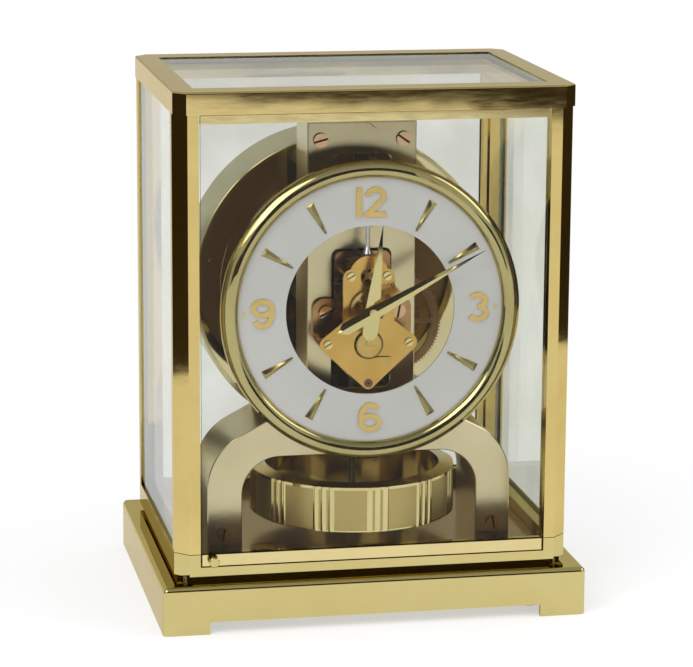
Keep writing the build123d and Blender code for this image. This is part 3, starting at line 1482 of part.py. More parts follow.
# Balance ring: turned brass with twelve groups of three raised bars
bar_radius = ((flute_width / 2) ** 2 + flute_relief**2) / (2 * flute_relief)
bar_place = balance_radius + flute_relief - bar_radius
flute_step = math.degrees(flute_pitch / balance_radius)
ring_inner_radius = balance_radius - balance_ring_width
with BuildPart() as balance_ring:
    with BuildSketch(Plane.XY.offset(balance_bottom)):
        with Locations((0, balance_y)):
            Circle(balance_radius)
            for group in range(flute_groups):
                group_angle = flute_start_angle + group * 360.0 / flute_groups
                for bar in range(flutes_in_group):
                    middle_bar = (flutes_in_group - 1) / 2
                    angle = group_angle + (bar - middle_bar) * flute_step
                    across, ahead = polar(bar_place, angle)
                    with Locations((across, -ahead)):
                        Circle(bar_radius)
            Circle(ring_inner_radius, mode=Mode.SUBTRACT)
    extrude(amount=ring_top - balance_bottom)
    with BuildSketch(facing(balance_y)):
        cut_radius = balance_radius + flute_relief + overrun
        cut_drop = balance_inner_rise * (cut_radius - ring_inner_radius) / balance_ring_width
        with BuildLine():
            Polyline(
                (ring_inner_radius, ring_top),
                (cut_radius, ring_top - cut_drop),
                (cut_radius, ring_top + overrun),
                (ring_inner_radius, ring_top + overrun),
                close=True,
            )
        make_face()
    revolve(axis=Axis((0, balance_y, 0), (0, 0, 1)), mode=Mode.SUBTRACT)
save(balance_ring, "balance_ring")

arm_bottom = balance_bottom + arm_rise
hub_bottom = arm_bottom + (arm_thickness - hub_height) / 2
with BuildPart() as balance_arms:
    with BuildSketch(Plane.XY.offset(arm_bottom)):
        with Locations((0, balance_y)):
            for arm in range(arm_count):
                with Locations(Location((0, 0), arm * 360.0 / arm_count)):
                    Rectangle(ring_inner_radius - arm_seat_gap, arm_width, align=(Align.MIN, Align.CENTER))
    extrude(amount=arm_thickness)
    upright(0, balance_y, hub_radius, hub_bottom, hub_bottom + hub_height)
    upright(0, balance_y, staff_radius + staff_fit, hub_bottom, hub_bottom + hub_height, Mode.SUBTRACT)
save(balance_arms, "balance_arms")

with BuildPart() as balance_staff:
    upright(0, balance_y, staff_radius, hub_bottom, staff_top)
    upright(0, balance_y, roller_radius, roller_bottom, roller_bottom + roller_thickness)
    upright(0, balance_y - impulse_pin_offset, impulse_pin_radius, roller_bottom + roller_thickness,
            roller_bottom + roller_thickness + impulse_pin_height)
save(balance_staff, "balance_staff")

# Dial carrier: a flat ring on two posts
dial_posts = [(-dial_post_x, dial_height + dial_post_offset), (dial_post_x, dial_height + dial_post_offset),
              (-dial_post_x, dial_height - dial_post_offset), (dial_post_x, dial_height - dial_post_offset)]
dial_screw_places = [(-dial_screw_place_radius, dial_height), (dial_screw_place_radius, dial_height)]
with BuildPart() as dial_carrier:
    disc(0, dial_height, carrier_radius, carrier_back, carrier_front)
    disc(0, dial_height, carrier_inner_radius, carrier_back, carrier_front, Mode.SUBTRACT)
    for x, z in dial_posts:
        disc(x, z, dial_post_radius, frame_front, carrier_back)
    for x, z in dial_screw_places:
        disc(x, z, dial_screw_radius + screw_fit, carrier_back, carrier_front, Mode.SUBTRACT)
save(dial_carrier, "dial_carrier")

with BuildPart() as dial_plate:
    disc(0, dial_height, dial_radius, carrier_front, dial_face)
    disc(0, dial_height, dial_opening_radius, carrier_front, dial_face, Mode.SUBTRACT)
    for x, z in dial_screw_places:
        disc(x, z, dial_screw_radius + screw_fit, carrier_front, dial_face, Mode.SUBTRACT)
save(dial_plate, "dial_plate")

# Bezel: a rounded polished ring that clips over the dial and its carrier
bezel_back = dial_face + bezel_depth
bezel_step = dial_face + bezel_step_depth
bezel_edge = dial_face - bezel_edge_height
bezel_lip = dial_face - bezel_lip_height
bezel_crown = dial_face - bezel_rise
bezel_bore = carrier_radius + bezel_clearance
with BuildPart() as bezel:
    with BuildSketch(Plane.XY.offset(dial_height)):
        with BuildLine():
            Line((bezel_inner_radius, dial_face), (bezel_inner_radius, bezel_lip))
            ThreePointArc(
                (bezel_inner_radius, bezel_lip),
                (
                    (bezel_inner_radius + bezel_crown_radius) / 2 - bezel_edge_height / 2,
                    (bezel_lip + bezel_crown) / 2 - bezel_edge_height / 2,
                ),
                (bezel_crown_radius, bezel_crown),
            )
            ThreePointArc(
                (bezel_crown_radius, bezel_crown),
                (
                    (bezel_radius + bezel_crown_radius) / 2 + bezel_edge_height / 2,
                    (bezel_edge + bezel_crown) / 2 - bezel_edge_height / 2,
                ),
                (bezel_radius, bezel_edge),
            )
            Polyline(
                (bezel_radius, bezel_edge),
                (bezel_radius, bezel_step),
                (bezel_wall_radius, bezel_step),
                (bezel_wall_radius, bezel_back),
                (bezel_bore, bezel_back),
                (bezel_bore, dial_face),
                (bezel_inner_radius, dial_face),
            )
        make_face()
    revolve(axis=drum_axis)
save(bezel, "bezel")

# Small screws: four that hold the front plate and two that hold the dial
with BuildPart() as small_screws:
    for x, z in pillar_places:
        slotted_screw(x, z, front_plate_front, plate_screw_head_radius, plate_screw_head_height,
                      plate_screw_radius, plate_screw_length, plate_screw_slot, plate_screw_slot_depth,
                      plate_screw_slot_angle)
    for x, z in dial_screw_places:
        slotted_screw(x, z, dial_face, dial_screw_head_radius, dial_screw_head_height,
                      dial_screw_radius, dial_screw_length, dial_screw_slot, dial_screw_slot_depth,
                      dial_screw_slot_angle)
save(small_screws, "small_screws")


def figure_plane(x, z, across):
    """Plane of one numeral on the dial; across is -1 for a figure turned upside down."""
    return Plane(origin=(x, dial_face, z), x_dir=(across, 0, 0), z_dir=(0, -1, 0))


def stroke_arc(centre_x, centre_z, across, up, start, end):
    """Middle line of a curved stroke, as part of an ellipse."""
    EllipticalCenterArc((centre_x, centre_z), across, up, start, arc_size=end - start)


# Numerals: raised gilt figures 12, 3, 6 and 9, with their shapes as shares of the numeral height
one_offset_share = 0.42
two_offset_share = 0.13
two_bowl_share = (0.27, 0.22)
two_foot_share = 0.36
three_upper_share = (0.255, 0.2)
three_lower_share = (0.29, 0.215)
nine_bowl_share = (0.305, 0.225)
two_bowl_angles = (-38.0, 175.0)
three_upper_angles = (-90.0, 150.0)
three_lower_angles = (-150.0, 90.0)
nine_tail_angles = (-142.0, 30.0)
stroke_reach = numeral_height / 2 - numeral_stroke / 2
twelve_z = dial_height + numeral_place_radius
with BuildPart() as numerals:
    with BuildSketch(figure_plane(-one_offset_share * numeral_height, twelve_z, 1)):
        Rectangle(numeral_stroke, numeral_height)
    extrude(amount=numeral_thickness)

    with BuildSketch(figure_plane(two_offset_share * numeral_height, twelve_z, 1)):
        bowl_across = two_bowl_share[0] * numeral_height
        bowl_up = two_bowl_share[1] * numeral_height
        bowl_z = stroke_reach - bowl_up
        two_turn = math.radians(two_bowl_angles[0])
        with BuildLine():
            stroke_arc(0, bowl_z, bowl_across, bowl_up, *two_bowl_angles)
        trace(line_width=numeral_stroke)
        with BuildLine():
            Line(
                (bowl_across * math.cos(two_turn), bowl_z + bowl_up * math.sin(two_turn)),
                (-two_foot_share * numeral_height + numeral_stroke / 2, -stroke_reach),
            )
        trace(line_width=numeral_stroke)
        with BuildLine():
            Line((-two_foot_share * numeral_height, -stroke_reach),
                 (two_foot_share * numeral_height, -stroke_reach))
        trace(line_width=numeral_stroke)
    extrude(amount=numeral_thickness)

    with BuildSketch(figure_plane(numeral_place_radius, dial_height, 1)):
        for (across_share, up_share), side, angles in (
            (three_upper_share, 1, three_upper_angles),
            (three_lower_share, -1, three_lower_angles),
        ):
            with BuildLine():
                stroke_arc(0, side * (stroke_reach - up_share * numeral_height),
                           across_share * numeral_height, up_share * numeral_height, *angles)
            trace(line_width=numeral_stroke)
    extrude(amount=numeral_thickness)

    for x, z, across in (
        (-numeral_place_radius, dial_height, 1),
        (0, dial_height - numeral_place_radius, -1),
    ):
        with BuildSketch(figure_plane(x, z, across)):
            bowl_across = nine_bowl_share[0] * numeral_height
            bowl_up = nine_bowl_share[1] * numeral_height
            with Locations((0, stroke_reach - bowl_up)):
                Ellipse(bowl_across + numeral_stroke / 2, bowl_up + numeral_stroke / 2)
            with BuildLine():
                stroke_arc(0, 0, bowl_across, stroke_reach, *nine_tail_angles)
            trace(line_width=numeral_stroke)
            with Locations((0, stroke_reach - bowl_up)):
                Ellipse(bowl_across - numeral_stroke / 2, bowl_up - numeral_stroke / 2, mode=Mode.SUBTRACT)
        extrude(amount=numeral_thickness)
save(numerals, "numerals")


def ridged_wedge(angle, back, lower_outline, upper_outline, edge, rise):
    """Thin faceted bar on the dial or a hand: an even edge that rises to a ridge."""
    with BuildSketch(dial_plane(angle, back)) as base_face:
        Polygon(*lower_outline, align=None)
    extrude(base_face.sketch, amount=edge)
    with BuildSketch(dial_plane(angle, back - edge)) as lower_face:
        Polygon(*lower_outline, align=None)
    with BuildSketch(dial_plane(angle, back - edge - rise)) as upper_face:
        Polygon(*upper_outline, align=None)
    loft([lower_face.sketch.face(), upper_face.sketch.face()], ruled=True)


# Hour markers: eight ridged wedges, wide end outward
marker_angles = [hour * 30 for hour in range(12) if hour % 3 != 0]
with BuildPart() as hour_markers:
    for angle in marker_angles:
        ridged_wedge(
            angle,
            dial_face,
            [
                (-marker_inner_half_width, marker_inner_radius),
                (marker_inner_half_width, marker_inner_radius),
                (marker_outer_half_width, marker_outer_radius),
                (-marker_outer_half_width, marker_outer_radius),
            ],
            [
                (-marker_ridge_half_width, marker_inner_radius + marker_ridge_inset),
                (marker_ridge_half_width, marker_inner_radius + marker_ridge_inset),
                (marker_ridge_half_width, marker_outer_radius - marker_ridge_inset),
                (-marker_ridge_half_width, marker_outer_radius - marker_ridge_inset),
            ],
            marker_edge_thickness,
            marker_ridge_rise,
        )
save(hour_markers, "hour_markers")


def kite(length, shoulder, tail, half_width, tail_half_width):
    """Outline of a hand: point, widest at the arbor, shoulders behind it, and tail."""
    return [
        (0, length),
        (half_width, 0),
        (tail_half_width, -shoulder),
        (0, -tail),
        (-tail_half_width, -shoulder),
        (-half_width, 0),
    ]


# Hands: faceted kites with a round boss on the arbor
hand_height = hand_edge_thickness + hand_ridge_rise
with BuildPart() as hour_hand:
    ridged_wedge(
        hour_hand_angle,
        hour_hand_back,
        kite(hour_hand_length, hour_hand_shoulder, hour_hand_tail, hour_hand_half_width,
             hour_hand_tail_half_width),
        kite(hour_hand_length - hand_ridge_inset, hour_hand_shoulder, hour_hand_tail - hand_ridge_inset,
             hand_ridge_half_width, hand_ridge_half_width),
        hand_edge_thickness,
        hand_ridge_rise,
    )
    disc(0, dial_height, hour_hub_radius, hour_hand_back, hour_hand_back - hand_height)
    disc(0, dial_height, cannon_pipe_radius + pivot_clearance, hour_hand_back,
         hour_hand_back - hand_height, Mode.SUBTRACT)
save(hour_hand, "hour_hand")

with BuildPart() as minute_hand:
    ridged_wedge(
        minute_hand_angle,
        minute_hand_back,
        kite(minute_hand_length, minute_hand_shoulder, minute_hand_tail, minute_hand_half_width,
             minute_hand_tail_half_width),
        kite(minute_hand_length - hand_ridge_inset, minute_hand_shoulder,
             minute_hand_tail - hand_ridge_inset, hand_ridge_half_width, hand_ridge_half_width),
        hand_edge_thickness,
        hand_ridge_rise,
    )
    disc(0, dial_height, minute_hub_radius, minute_hand_back, minute_hand_back - hand_height)
    disc(0, dial_height, hand_cap_radius, minute_hand_back - hand_height,
         minute_hand_back - hand_height - hand_cap_height)
save(minute_hand, "minute_hand")
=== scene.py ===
import math

import bpy
from mathutils import Matrix, Vector

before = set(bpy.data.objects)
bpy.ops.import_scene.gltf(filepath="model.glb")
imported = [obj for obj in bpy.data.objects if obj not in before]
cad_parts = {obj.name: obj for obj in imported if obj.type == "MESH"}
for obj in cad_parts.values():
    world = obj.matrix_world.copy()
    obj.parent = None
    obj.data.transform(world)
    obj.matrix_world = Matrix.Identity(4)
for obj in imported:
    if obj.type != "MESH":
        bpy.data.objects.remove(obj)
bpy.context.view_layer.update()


# Base plinth. A hollow brass casting with four straight sides that stands on its corners.
# It is ground flat, buffed on a cloth wheel and plated with gold, so it mirrors the table
# and shows only faint waves and wipe marks. Pattern sizes are in millimetres, depths in metres.
wipe_length = 9
wipe_gap = 1.3
wipe_depth = 0.000004
sheet_wave_length = 26
gilt_edge = "#E2D8BC"


def linear(code):
    """Turns an sRGB hex colour into the linear one that a shader takes."""
    parts = [int(code[place:place + 2], 16) / 255 for place in (1, 3, 5)]
    return [part / 12.92 if part <= 0.04045 else ((part + 0.055) / 1.055) ** 2.4 for part in parts] + [1.0]


def add(tree, kind, values=None, links=None, **settings):
    """Adds one node with its settings, the values of its sockets and the links into them."""
    node = tree.nodes.new(kind)
    for name, setting in settings.items():
        setattr(node, name, setting)
    for socket, value in (values or {}).items():
        node.inputs[socket].default_value = value
    for socket, source in (links or {}).items():
        tree.links.new(source, node.inputs[socket])
    return node


def per_mm(millimetres):
    """Scale of a pattern whose marks are this many millimetres apart, in a frame in metres."""
    return 1000.0 / millimetres


def start(name):
    """Opens an empty material and returns it with its node tree."""
    material = bpy.data.materials.new(name)
    material.use_nodes = True
    material.node_tree.nodes.clear()
    return material, material.node_tree


def give(material, *names):
    """Puts a material on pieces of the frame."""
    for name in names:
        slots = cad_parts[name].data.materials
        slots.clear()
        slots.append(material)


def polished_plate(name, light, deep, roughness, wave, patch):
    """Gold-plated brass that was buffed: colour patches, sheet waves and fine wipe marks."""
    material, tree = start(name)
    place = add(tree, "ShaderNodeTexCoord").outputs["Object"]
    patches = add(tree, "ShaderNodeTexNoise", {"Scale": per_mm(patch), "Detail": 3.0, "Roughness": 0.6},
                  {"Vector": place}).outputs[0]
    colour = add(tree, "ShaderNodeMix", {"A": linear(deep), "B": linear(light)}, {"Factor": patches},
                 data_type="RGBA")
    wipe_scale = (per_mm(wipe_length), per_mm(wipe_length), per_mm(wipe_gap))
    wipes = add(tree, "ShaderNodeMapping", {"Scale": wipe_scale}, {"Vector": place}).outputs[0]
    marks = add(tree, "ShaderNodeTexNoise", {"Scale": 1.0, "Detail": 4.0, "Roughness": 0.55},
                {"Vector": wipes}).outputs[0]
    gloss = add(tree, "ShaderNodeMapRange", {"From Min": 0.3, "From Max": 0.75, "To Min": roughness * 0.7,
                                             "To Max": roughness * 1.6}, {"Value": marks}).outputs[0]
    waves = add(tree, "ShaderNodeTexNoise", {"Scale": per_mm(sheet_wave_length), "Detail": 1.0},
                {"Vector": place}).outputs[0]
    sheet = add(tree, "ShaderNodeBump", {"Strength": 1.0, "Distance": wave}, {"Height": waves}).outputs[0]
    buffed = add(tree, "ShaderNodeBump", {"Strength": 0.25, "Distance": wipe_depth},
                 {"Height": marks, "Normal": sheet}).outputs[0]
    metal = add(tree, "ShaderNodeBsdfPrincipled", {"Metallic": 1.0, "Specular Tint": linear(gilt_edge)},
                {"Base Color": colour.outputs["Result"], "Roughness": gloss, "Normal": buffed})
    add(tree, "ShaderNodeOutputMaterial", None, {"Surface": metal.outputs[0]})
    return material


gold_plate = polished_plate("gold_plated_brass_buffed", "#D2C48A", "#C5B574", 0.06, 0.00005, 34)
give(gold_plate, "base_plinth")


# Levelling screws. Two knurled brass thumb wheels under the front corners, turned by hand,
# with hard steel pads that stand on the table. The pads are turned on a lathe and only degreased.
# The marks of the tool are drawn as a grain 0.6 mm wide, coarser than they are, so that they show.
tool_mark_size = 0.6
steel_cloud = 8


def turned_steel(name, light, deep, roughness):
    """Steel off the lathe: fine marks of the tool and a slightly uneven grey."""
    material, tree = start(name)
    place = add(tree, "ShaderNodeTexCoord").outputs["Object"]
    marks = add(tree, "ShaderNodeTexNoise", {"Scale": per_mm(tool_mark_size), "Detail": 3.0},
                {"Vector": place}).outputs[0]
    clouds = add(tree, "ShaderNodeTexNoise", {"Scale": per_mm(steel_cloud), "Detail": 2.0},
                 {"Vector": place}).outputs[0]
    colour = add(tree, "ShaderNodeMix", {"A": linear(deep), "B": linear(light)}, {"Factor": clouds},
                 data_type="RGBA")
    gloss = add(tree, "ShaderNodeMapRange", {"To Min": roughness * 0.7, "To Max": roughness * 1.4},
                {"Value": marks}).outputs[0]
    metal = add(tree, "ShaderNodeBsdfPrincipled", {"Metallic": 1.0},
                {"Base Color": colour.outputs["Result"], "Roughness": gloss})
    add(tree, "ShaderNodeOutputMaterial", None, {"Surface": metal.outputs[0]})
    return material


steel = turned_steel("turned_steel", "#B9B8B3", "#8E8D88", 0.28)
give(steel, "left_foot_pad", "right_foot_pad")
give(gold_plate, "left_levelling_screw", "right_levelling_screw")


# Sill, posts and cap. Drawn and milled brass bars, mitred, soldered and pulled together by a steel
# rod in each corner. They are buffed and plated like the plinth, and their golds differ a little.
post_plate = polished_plate("gold_plated_brass_bar", "#DAC584", "#C9B06A", 0.055, 0.00004, 22)
cap_plate = polished_plate("gold_plated_brass_cap", "#DCC88C", "#CDB676", 0.05, 0.00005, 30)
give(gold_plate, "sill_frame")
give(post_plate, "corner_posts")
give(cap_plate, "cap_frame")
give(steel, "tie_rods")


# Floor plate. A brass sheet under the works, plated and polished, that has darkened evenly to
# brown over the years.
floor_plate_gold = polished_plate("darkened_gold_plate", "#C0AA90", "#AA947A", 0.16, 0.00003, 30)
give(floor_plate_gold, "floor_plate")


# Glass panes. Float glass 2.5 mm thick for the top, the sides and the back, slid into grooves.
# It is faintly green, clear across its faces, and its ground edges look darker and greener.
cut_edge_green = "#8FA596"
edge_shine_green = "#DDE6DC"
smear_size = 35


def pane_glass(name, axis, tint):
    """Clear glass for a flat pane: a thin mirror on its two faces, denser along its edges."""
    material, tree = start(name)
    place = add(tree, "ShaderNodeTexCoord").outputs["Object"]
    geometry = add(tree, "ShaderNodeNewGeometry").outputs
    normal = add(tree, "ShaderNodeSeparateXYZ", None, {0: geometry["True Normal"]}).outputs[axis]
    turned = add(tree, "ShaderNodeMath", None, {0: normal}, operation="ABSOLUTE").outputs[0]
    face = add(tree, "ShaderNodeMath", {1: 0.5}, {0: turned}, operation="GREATER_THAN").outputs[0]
    tilt = add(tree, "ShaderNodeLayerWeight", {"Blend": 0.5}).outputs["Facing"]
    steep = add(tree, "ShaderNodeMath", {1: 5.0}, {0: tilt}, operation="POWER").outputs[0]
    mirror = add(tree, "ShaderNodeMath", {1: 0.8, 2: 0.008}, {0: steep}, operation="MULTIPLY_ADD").outputs[0]
    smears = add(tree, "ShaderNodeTexNoise", {"Scale": per_mm(smear_size), "Detail": 4.0},
                 {"Vector": place}).outputs[0]
    gloss = add(tree, "ShaderNodeMapRange", {"From Min": 0.35, "From Max": 0.8, "To Min": 0.005,
                                             "To Max": 0.05}, {"Value": smears}).outputs[0]
    dust = add(tree, "ShaderNodeMix", {"A": linear(tint), "B": linear("#FDFDFC")}, {"Factor": smears},
               data_type="RGBA").outputs["Result"]
    clear = add(tree, "ShaderNodeBsdfTransparent", None, {"Color": dust})
    shine = add(tree, "ShaderNodeBsdfGlossy", {"Color": linear("#FFFFFF")}, {"Roughness": gloss})
    body = add(tree, "ShaderNodeMixShader", None, {0: mirror, 1: clear.outputs[0], 2: shine.outputs[0]})
    edge_clear = add(tree, "ShaderNodeBsdfTransparent", {"Color": linear(cut_edge_green)})
    edge_shine = add(tree, "ShaderNodeBsdfGlossy", {"Color": linear(edge_shine_green), "Roughness": 0.2})
    rim = add(tree, "ShaderNodeMixShader", {0: 0.35}, {1: edge_clear.outputs[0], 2: edge_shine.outputs[0]})
    pane = add(tree, "ShaderNodeMixShader", None, {0: face, 1: rim.outputs[0], 2: body.outputs[0]})
    add(tree, "ShaderNodeOutputMaterial", None, {"Surface": pane.outputs[0]})
    return material


give(pane_glass("float_glass_top", 2, "#F0F1EC"), "top_glass")
give(pane_glass("float_glass_side", 0, "#E9EBE2"), "side_glasses")
give(pane_glass("float_glass_rear", 1, "#DFE0DC"), "rear_glass")


# Front door. A pane of 2 mm glass gripped by two plated brass rails, on pins at its right edge,
# with a small turned knob at the lower left.
rail_plate = polished_plate("gold_plated_brass_rail", "#E2D29A", "#D4C188", 0.08, 0.00003, 26)
give(pane_glass("clear_glass_door", 1, "#F3F4F1"), "door_glass")
give(rail_plate, "door_bottom_rail", "door_top_rail")
give(gold_plate, "door_knob")


# Spirit level. A small round brass cup with a lens, cemented to the floor plate at its left front.
# It is plated with the case. The lens is drawn in the same gold, because only the ring shows.
give(gold_plate, "spirit_level")


# Arch bracket and suspension bridge. Heavy brass plate, brushed upright with emery and then
# plated, which gives a champagne satin with fine upright lines and soft broad highlights. The
# lines are drawn 0.3 mm apart, coarser than emery leaves them, so that they show.
line_gap = 0.3
line_stretch = 40
line_depth = 0.00001
brushed_cloud = 24


def brushed_plate(name, light, deep, roughness, along, stretch):
    """Plated brass with a grain that is drawn out along one axis of the frame."""
    material, tree = start(name)
    place = add(tree, "ShaderNodeTexCoord").outputs["Object"]
    scale = [per_mm(line_gap)] * 3
    scale[along] = per_mm(line_gap * stretch)
    lines_place = add(tree, "ShaderNodeMapping", {"Scale": scale}, {"Vector": place}).outputs[0]
    lines = add(tree, "ShaderNodeTexNoise", {"Scale": 1.0, "Detail": 3.0, "Roughness": 0.7},
                {"Vector": lines_place}).outputs[0]
    clouds = add(tree, "ShaderNodeTexNoise", {"Scale": per_mm(brushed_cloud), "Detail": 2.0},
                 {"Vector": place}).outputs[0]
    total = add(tree, "ShaderNodeMath", None, {0: lines, 1: clouds}, operation="ADD").outputs[0]
    blend = add(tree, "ShaderNodeMath", {1: 0.5}, {0: total}, operation="MULTIPLY").outputs[0]
    spread = add(tree, "ShaderNodeMapRange", {"From Min": 0.35, "From Max": 0.65},
                 {"Value": blend}).outputs[0]
    colour = add(tree, "ShaderNodeMix", {"A": linear(deep), "B": linear(light)}, {"Factor": spread},
                 data_type="RGBA")
    gloss = add(tree, "ShaderNodeMapRange", {"From Min": 0.3, "From Max": 0.7, "To Min": roughness * 0.93,
                                             "To Max": roughness * 1.08}, {"Value": lines}).outputs[0]
    grooves = add(tree, "ShaderNodeBump", {"Strength": 0.08, "Distance": line_depth},
                  {"Height": lines}).outputs[0]
    metal = add(tree, "ShaderNodeBsdfPrincipled", {"Metallic": 1.0},
                {"Base Color": colour.outputs["Result"], "Roughness": gloss, "Normal": grooves})
    add(tree, "ShaderNodeOutputMaterial", None, {"Surface": metal.outputs[0]})
    return material


champagne = brushed_plate("gold_plated_brass_brushed", "#DED2AE", "#D5C8A2", 0.22, 2, line_stretch)
give(champagne, "arch_bracket", "suspension_bridge")


# Slotted screws. Cheese heads, turned and polished, then flash plated: the large ones that hold the
# bracket and the plates with copper, the small ones of the front plate with gold. Shade is painted
# brown into each sawn slot and round the side of each head. The faces are where the heads end, in metres.
bracket_screw_face = -0.0345
plate_screw_face = -0.0371
large_head = 0.0015
small_screw_face = -0.0511
small_head = 0.0008
face_skin = 0.0001
# Brown of the shade painted into the slots and round the sides of the heads.
painted_slot_shade = "#4A3325"
head_patch = 3


def slotted_plate(name, light, deep, head, faces):
    """Plated screw heads, polished on their faces, with brown shade painted in the slots and round the
    sides.
    """
    material, tree = start(name)
    place = add(tree, "ShaderNodeTexCoord").outputs["Object"]
    across = add(tree, "ShaderNodeSeparateXYZ", None, {0: place}).outputs[1]
    slot_and_side = None
    for face in faces:
        below = add(tree, "ShaderNodeMath", {1: face + head / 2, 2: head / 2 - face_skin}, {0: across},
                    operation="COMPARE").outputs[0]
        slot_and_side = below if slot_and_side is None else add(tree, "ShaderNodeMath", None, {0: slot_and_side, 1: below},
                                              operation="MAXIMUM").outputs[0]
    patches = add(tree, "ShaderNodeTexNoise", {"Scale": per_mm(head_patch), "Detail": 3.0},
                  {"Vector": place}).outputs[0]
    plating = add(tree, "ShaderNodeMix", {"A": linear(deep), "B": linear(light)}, {"Factor": patches},
                  data_type="RGBA").outputs["Result"]
    # Painted shade: below the face, in the slot and round the side, the plating is mixed to brown.
    colour = add(tree, "ShaderNodeMix", {"B": linear(painted_slot_shade)}, {"Factor": slot_and_side, "A": plating},
                 data_type="RGBA").outputs["Result"]
    gloss = add(tree, "ShaderNodeMapRange", {"To Min": 0.13, "To Max": 0.45}, {"Value": slot_and_side}).outputs[0]
    metal = add(tree, "ShaderNodeBsdfPrincipled", {"Metallic": 1.0},
                {"Base Color": colour, "Roughness": gloss})
    add(tree, "ShaderNodeOutputMaterial", None, {"Surface": metal.outputs[0]})
    return material


give(slotted_plate("copper_plated_screw", "#E0BC98", "#CDA480", large_head,
                   (bracket_screw_face, plate_screw_face)), "frame_screws")
give(slotted_plate("gold_plated_screw", "#E8D7A0", "#D8C484", small_head, (small_screw_face,)),
     "small_screws")


# Suspension and bellows. The clamp and its nut are plated brass. The wire, the return spring and the
# sleeve of the bellows are a hard drawn alloy. The hanger rod, with its flared foot, is polished steel.
wire_steel = turned_steel("drawn_spring_wire", "#A9ABAA", "#7F8182", 0.3)
bright_steel = turned_steel("polished_steel_rod", "#D5D6DA", "#A9AAB0", 0.12)
give(gold_plate, "suspension_clamp")
give(bright_steel, "hanger_rod")
give(wire_steel, "suspension_wire", "return_spring", "bellows_sleeve")


# Gas drum. A brass drum, turned on a lathe and plated. The marks of the tool are drawn as an even
# grain 0.3 mm wide, coarser than they are, which spreads the light on its side into a soft band.
drum_plate = brushed_plate("gold_plated_brass_turned", "#DDD4A6", "#C9C093", 0.2, 1, 1)
give(drum_plate, "drum_shell")


# Drum cover. A pressed brass disc with a groove and three rivets, plated and buffed to a mirror.
# It looks brown where it mirrors the shaded back of the dial. The spacers that carry the drum, the
# bellows plate and the rocker behind it are plain turned steel.
cover_plate = polished_plate("gold_plated_drum_cover", "#DCCFA6", "#CDBF94", 0.035, 0.00001, 34)
give(cover_plate, "drum_cover")
give(steel, "drum_spacers", "bellows_plate", "winding_rocker")


# Winding wheel, transfer arbor and rear cock. The wheel is cut from hard brass sheet, left with a
# fine matt grain and gone dark, and the arbor and its pinions are turned steel. The cock is brushed
# like the bracket. The grain is drawn 0.5 mm wide so that it shows.
grain_size = 0.5
grain_depth = 0.00002
brass_cloud = 9
# Brown of the shade painted into recesses, and the depth in metres over which it comes in.
painted_recess_shade = "#54391C"
recess_fade = 0.0004


def grained_brass(name, light, deep, roughness, shaded_from=None):
    """Warm brass with a fine matt grain, with brown shade painted on all that lies behind a given depth."""
    material, tree = start(name)
    place = add(tree, "ShaderNodeTexCoord").outputs["Object"]
    grain = add(tree, "ShaderNodeTexNoise", {"Scale": per_mm(grain_size), "Detail": 2.0},
                {"Vector": place}).outputs[0]
    clouds = add(tree, "ShaderNodeTexNoise", {"Scale": per_mm(brass_cloud), "Detail": 3.0},
                 {"Vector": place}).outputs[0]
    colour = add(tree, "ShaderNodeMix", {"A": linear(deep), "B": linear(light)}, {"Factor": clouds},
                 data_type="RGBA")
    if shaded_from is not None:
        across = add(tree, "ShaderNodeSeparateXYZ", None, {0: place}).outputs[1]
        shaded_to = shaded_from + recess_fade
        recess_shade = add(tree, "ShaderNodeMapRange", {"From Min": shaded_from, "From Max": shaded_to},
                     {"Value": across}).outputs[0]
        # Painted shade: all that lies behind the given depth is mixed to brown.
        colour = add(tree, "ShaderNodeMix", {"B": linear(painted_recess_shade)},
                     {"Factor": recess_shade, "A": colour.outputs["Result"]}, data_type="RGBA")
    gloss = add(tree, "ShaderNodeMapRange", {"From Min": 0.3, "From Max": 0.7, "To Min": roughness * 0.75,
                                             "To Max": roughness * 1.3}, {"Value": grain}).outputs[0]
    pits = add(tree, "ShaderNodeBump", {"Strength": 0.3, "Distance": grain_depth},
               {"Height": grain}).outputs[0]
    metal = add(tree, "ShaderNodeBsdfPrincipled", {"Metallic": 1.0},
                {"Base Color": colour.outputs["Result"], "Roughness": gloss, "Normal": pits})
    add(tree, "ShaderNodeOutputMaterial", None, {"Surface": metal.outputs[0]})
    return material


wheel_brass = grained_brass("fine_grained_wheel_brass", "#DCC078", "#C0A058", 0.22)
give(grained_brass("darkened_wheel_brass", "#D0AE7C", "#B08E5C", 0.34), "winding_wheel")
give(steel, "transfer_arbor")
give(champagne, "rear_cock")


# Movement plates. Brass plates held apart by four turned pillars and plated in a warm copper gold.
# The front one keeps a fine matt grain, and its recess for the ratchet wheel, with all behind its
# front face, is painted brown as shade; the back one is polished. The jewels are red ruby, pressed
# in and polished.
front_recess_from = -0.0501
ruby_line_gap = 0.8
ruby_ior = 1.76
plate_brass = grained_brass("grained_coppery_plate", "#DDB96C", "#C89E50", 0.2, front_recess_from)
give(plate_brass, "front_plate")
give(polished_plate("coppery_plate_polished", "#C0986A", "#A88052", 0.2, 0.00002, 12), "back_plate")
give(gold_plate, "movement_pillars")


def ruby(name):
    """Synthetic ruby: a deep red stone with a hard polish and faint growth lines."""
    material, tree = start(name)
    place = add(tree, "ShaderNodeTexCoord").outputs["Object"]
    lines = add(tree, "ShaderNodeTexNoise", {"Scale": per_mm(ruby_line_gap), "Detail": 1.0},
                {"Vector": place}).outputs[0]
    colour = add(tree, "ShaderNodeMix", {"A": linear("#4A0E16"), "B": linear("#7A1C28")}, {"Factor": lines},
                 data_type="RGBA")
    stone = add(tree, "ShaderNodeBsdfPrincipled", {"Roughness": 0.06, "IOR": ruby_ior},
                {"Base Color": colour.outputs["Result"]})
    add(tree, "ShaderNodeOutputMaterial", None, {"Surface": stone.outputs[0]})
    return material


give(ruby("polished_ruby"), "jewels")


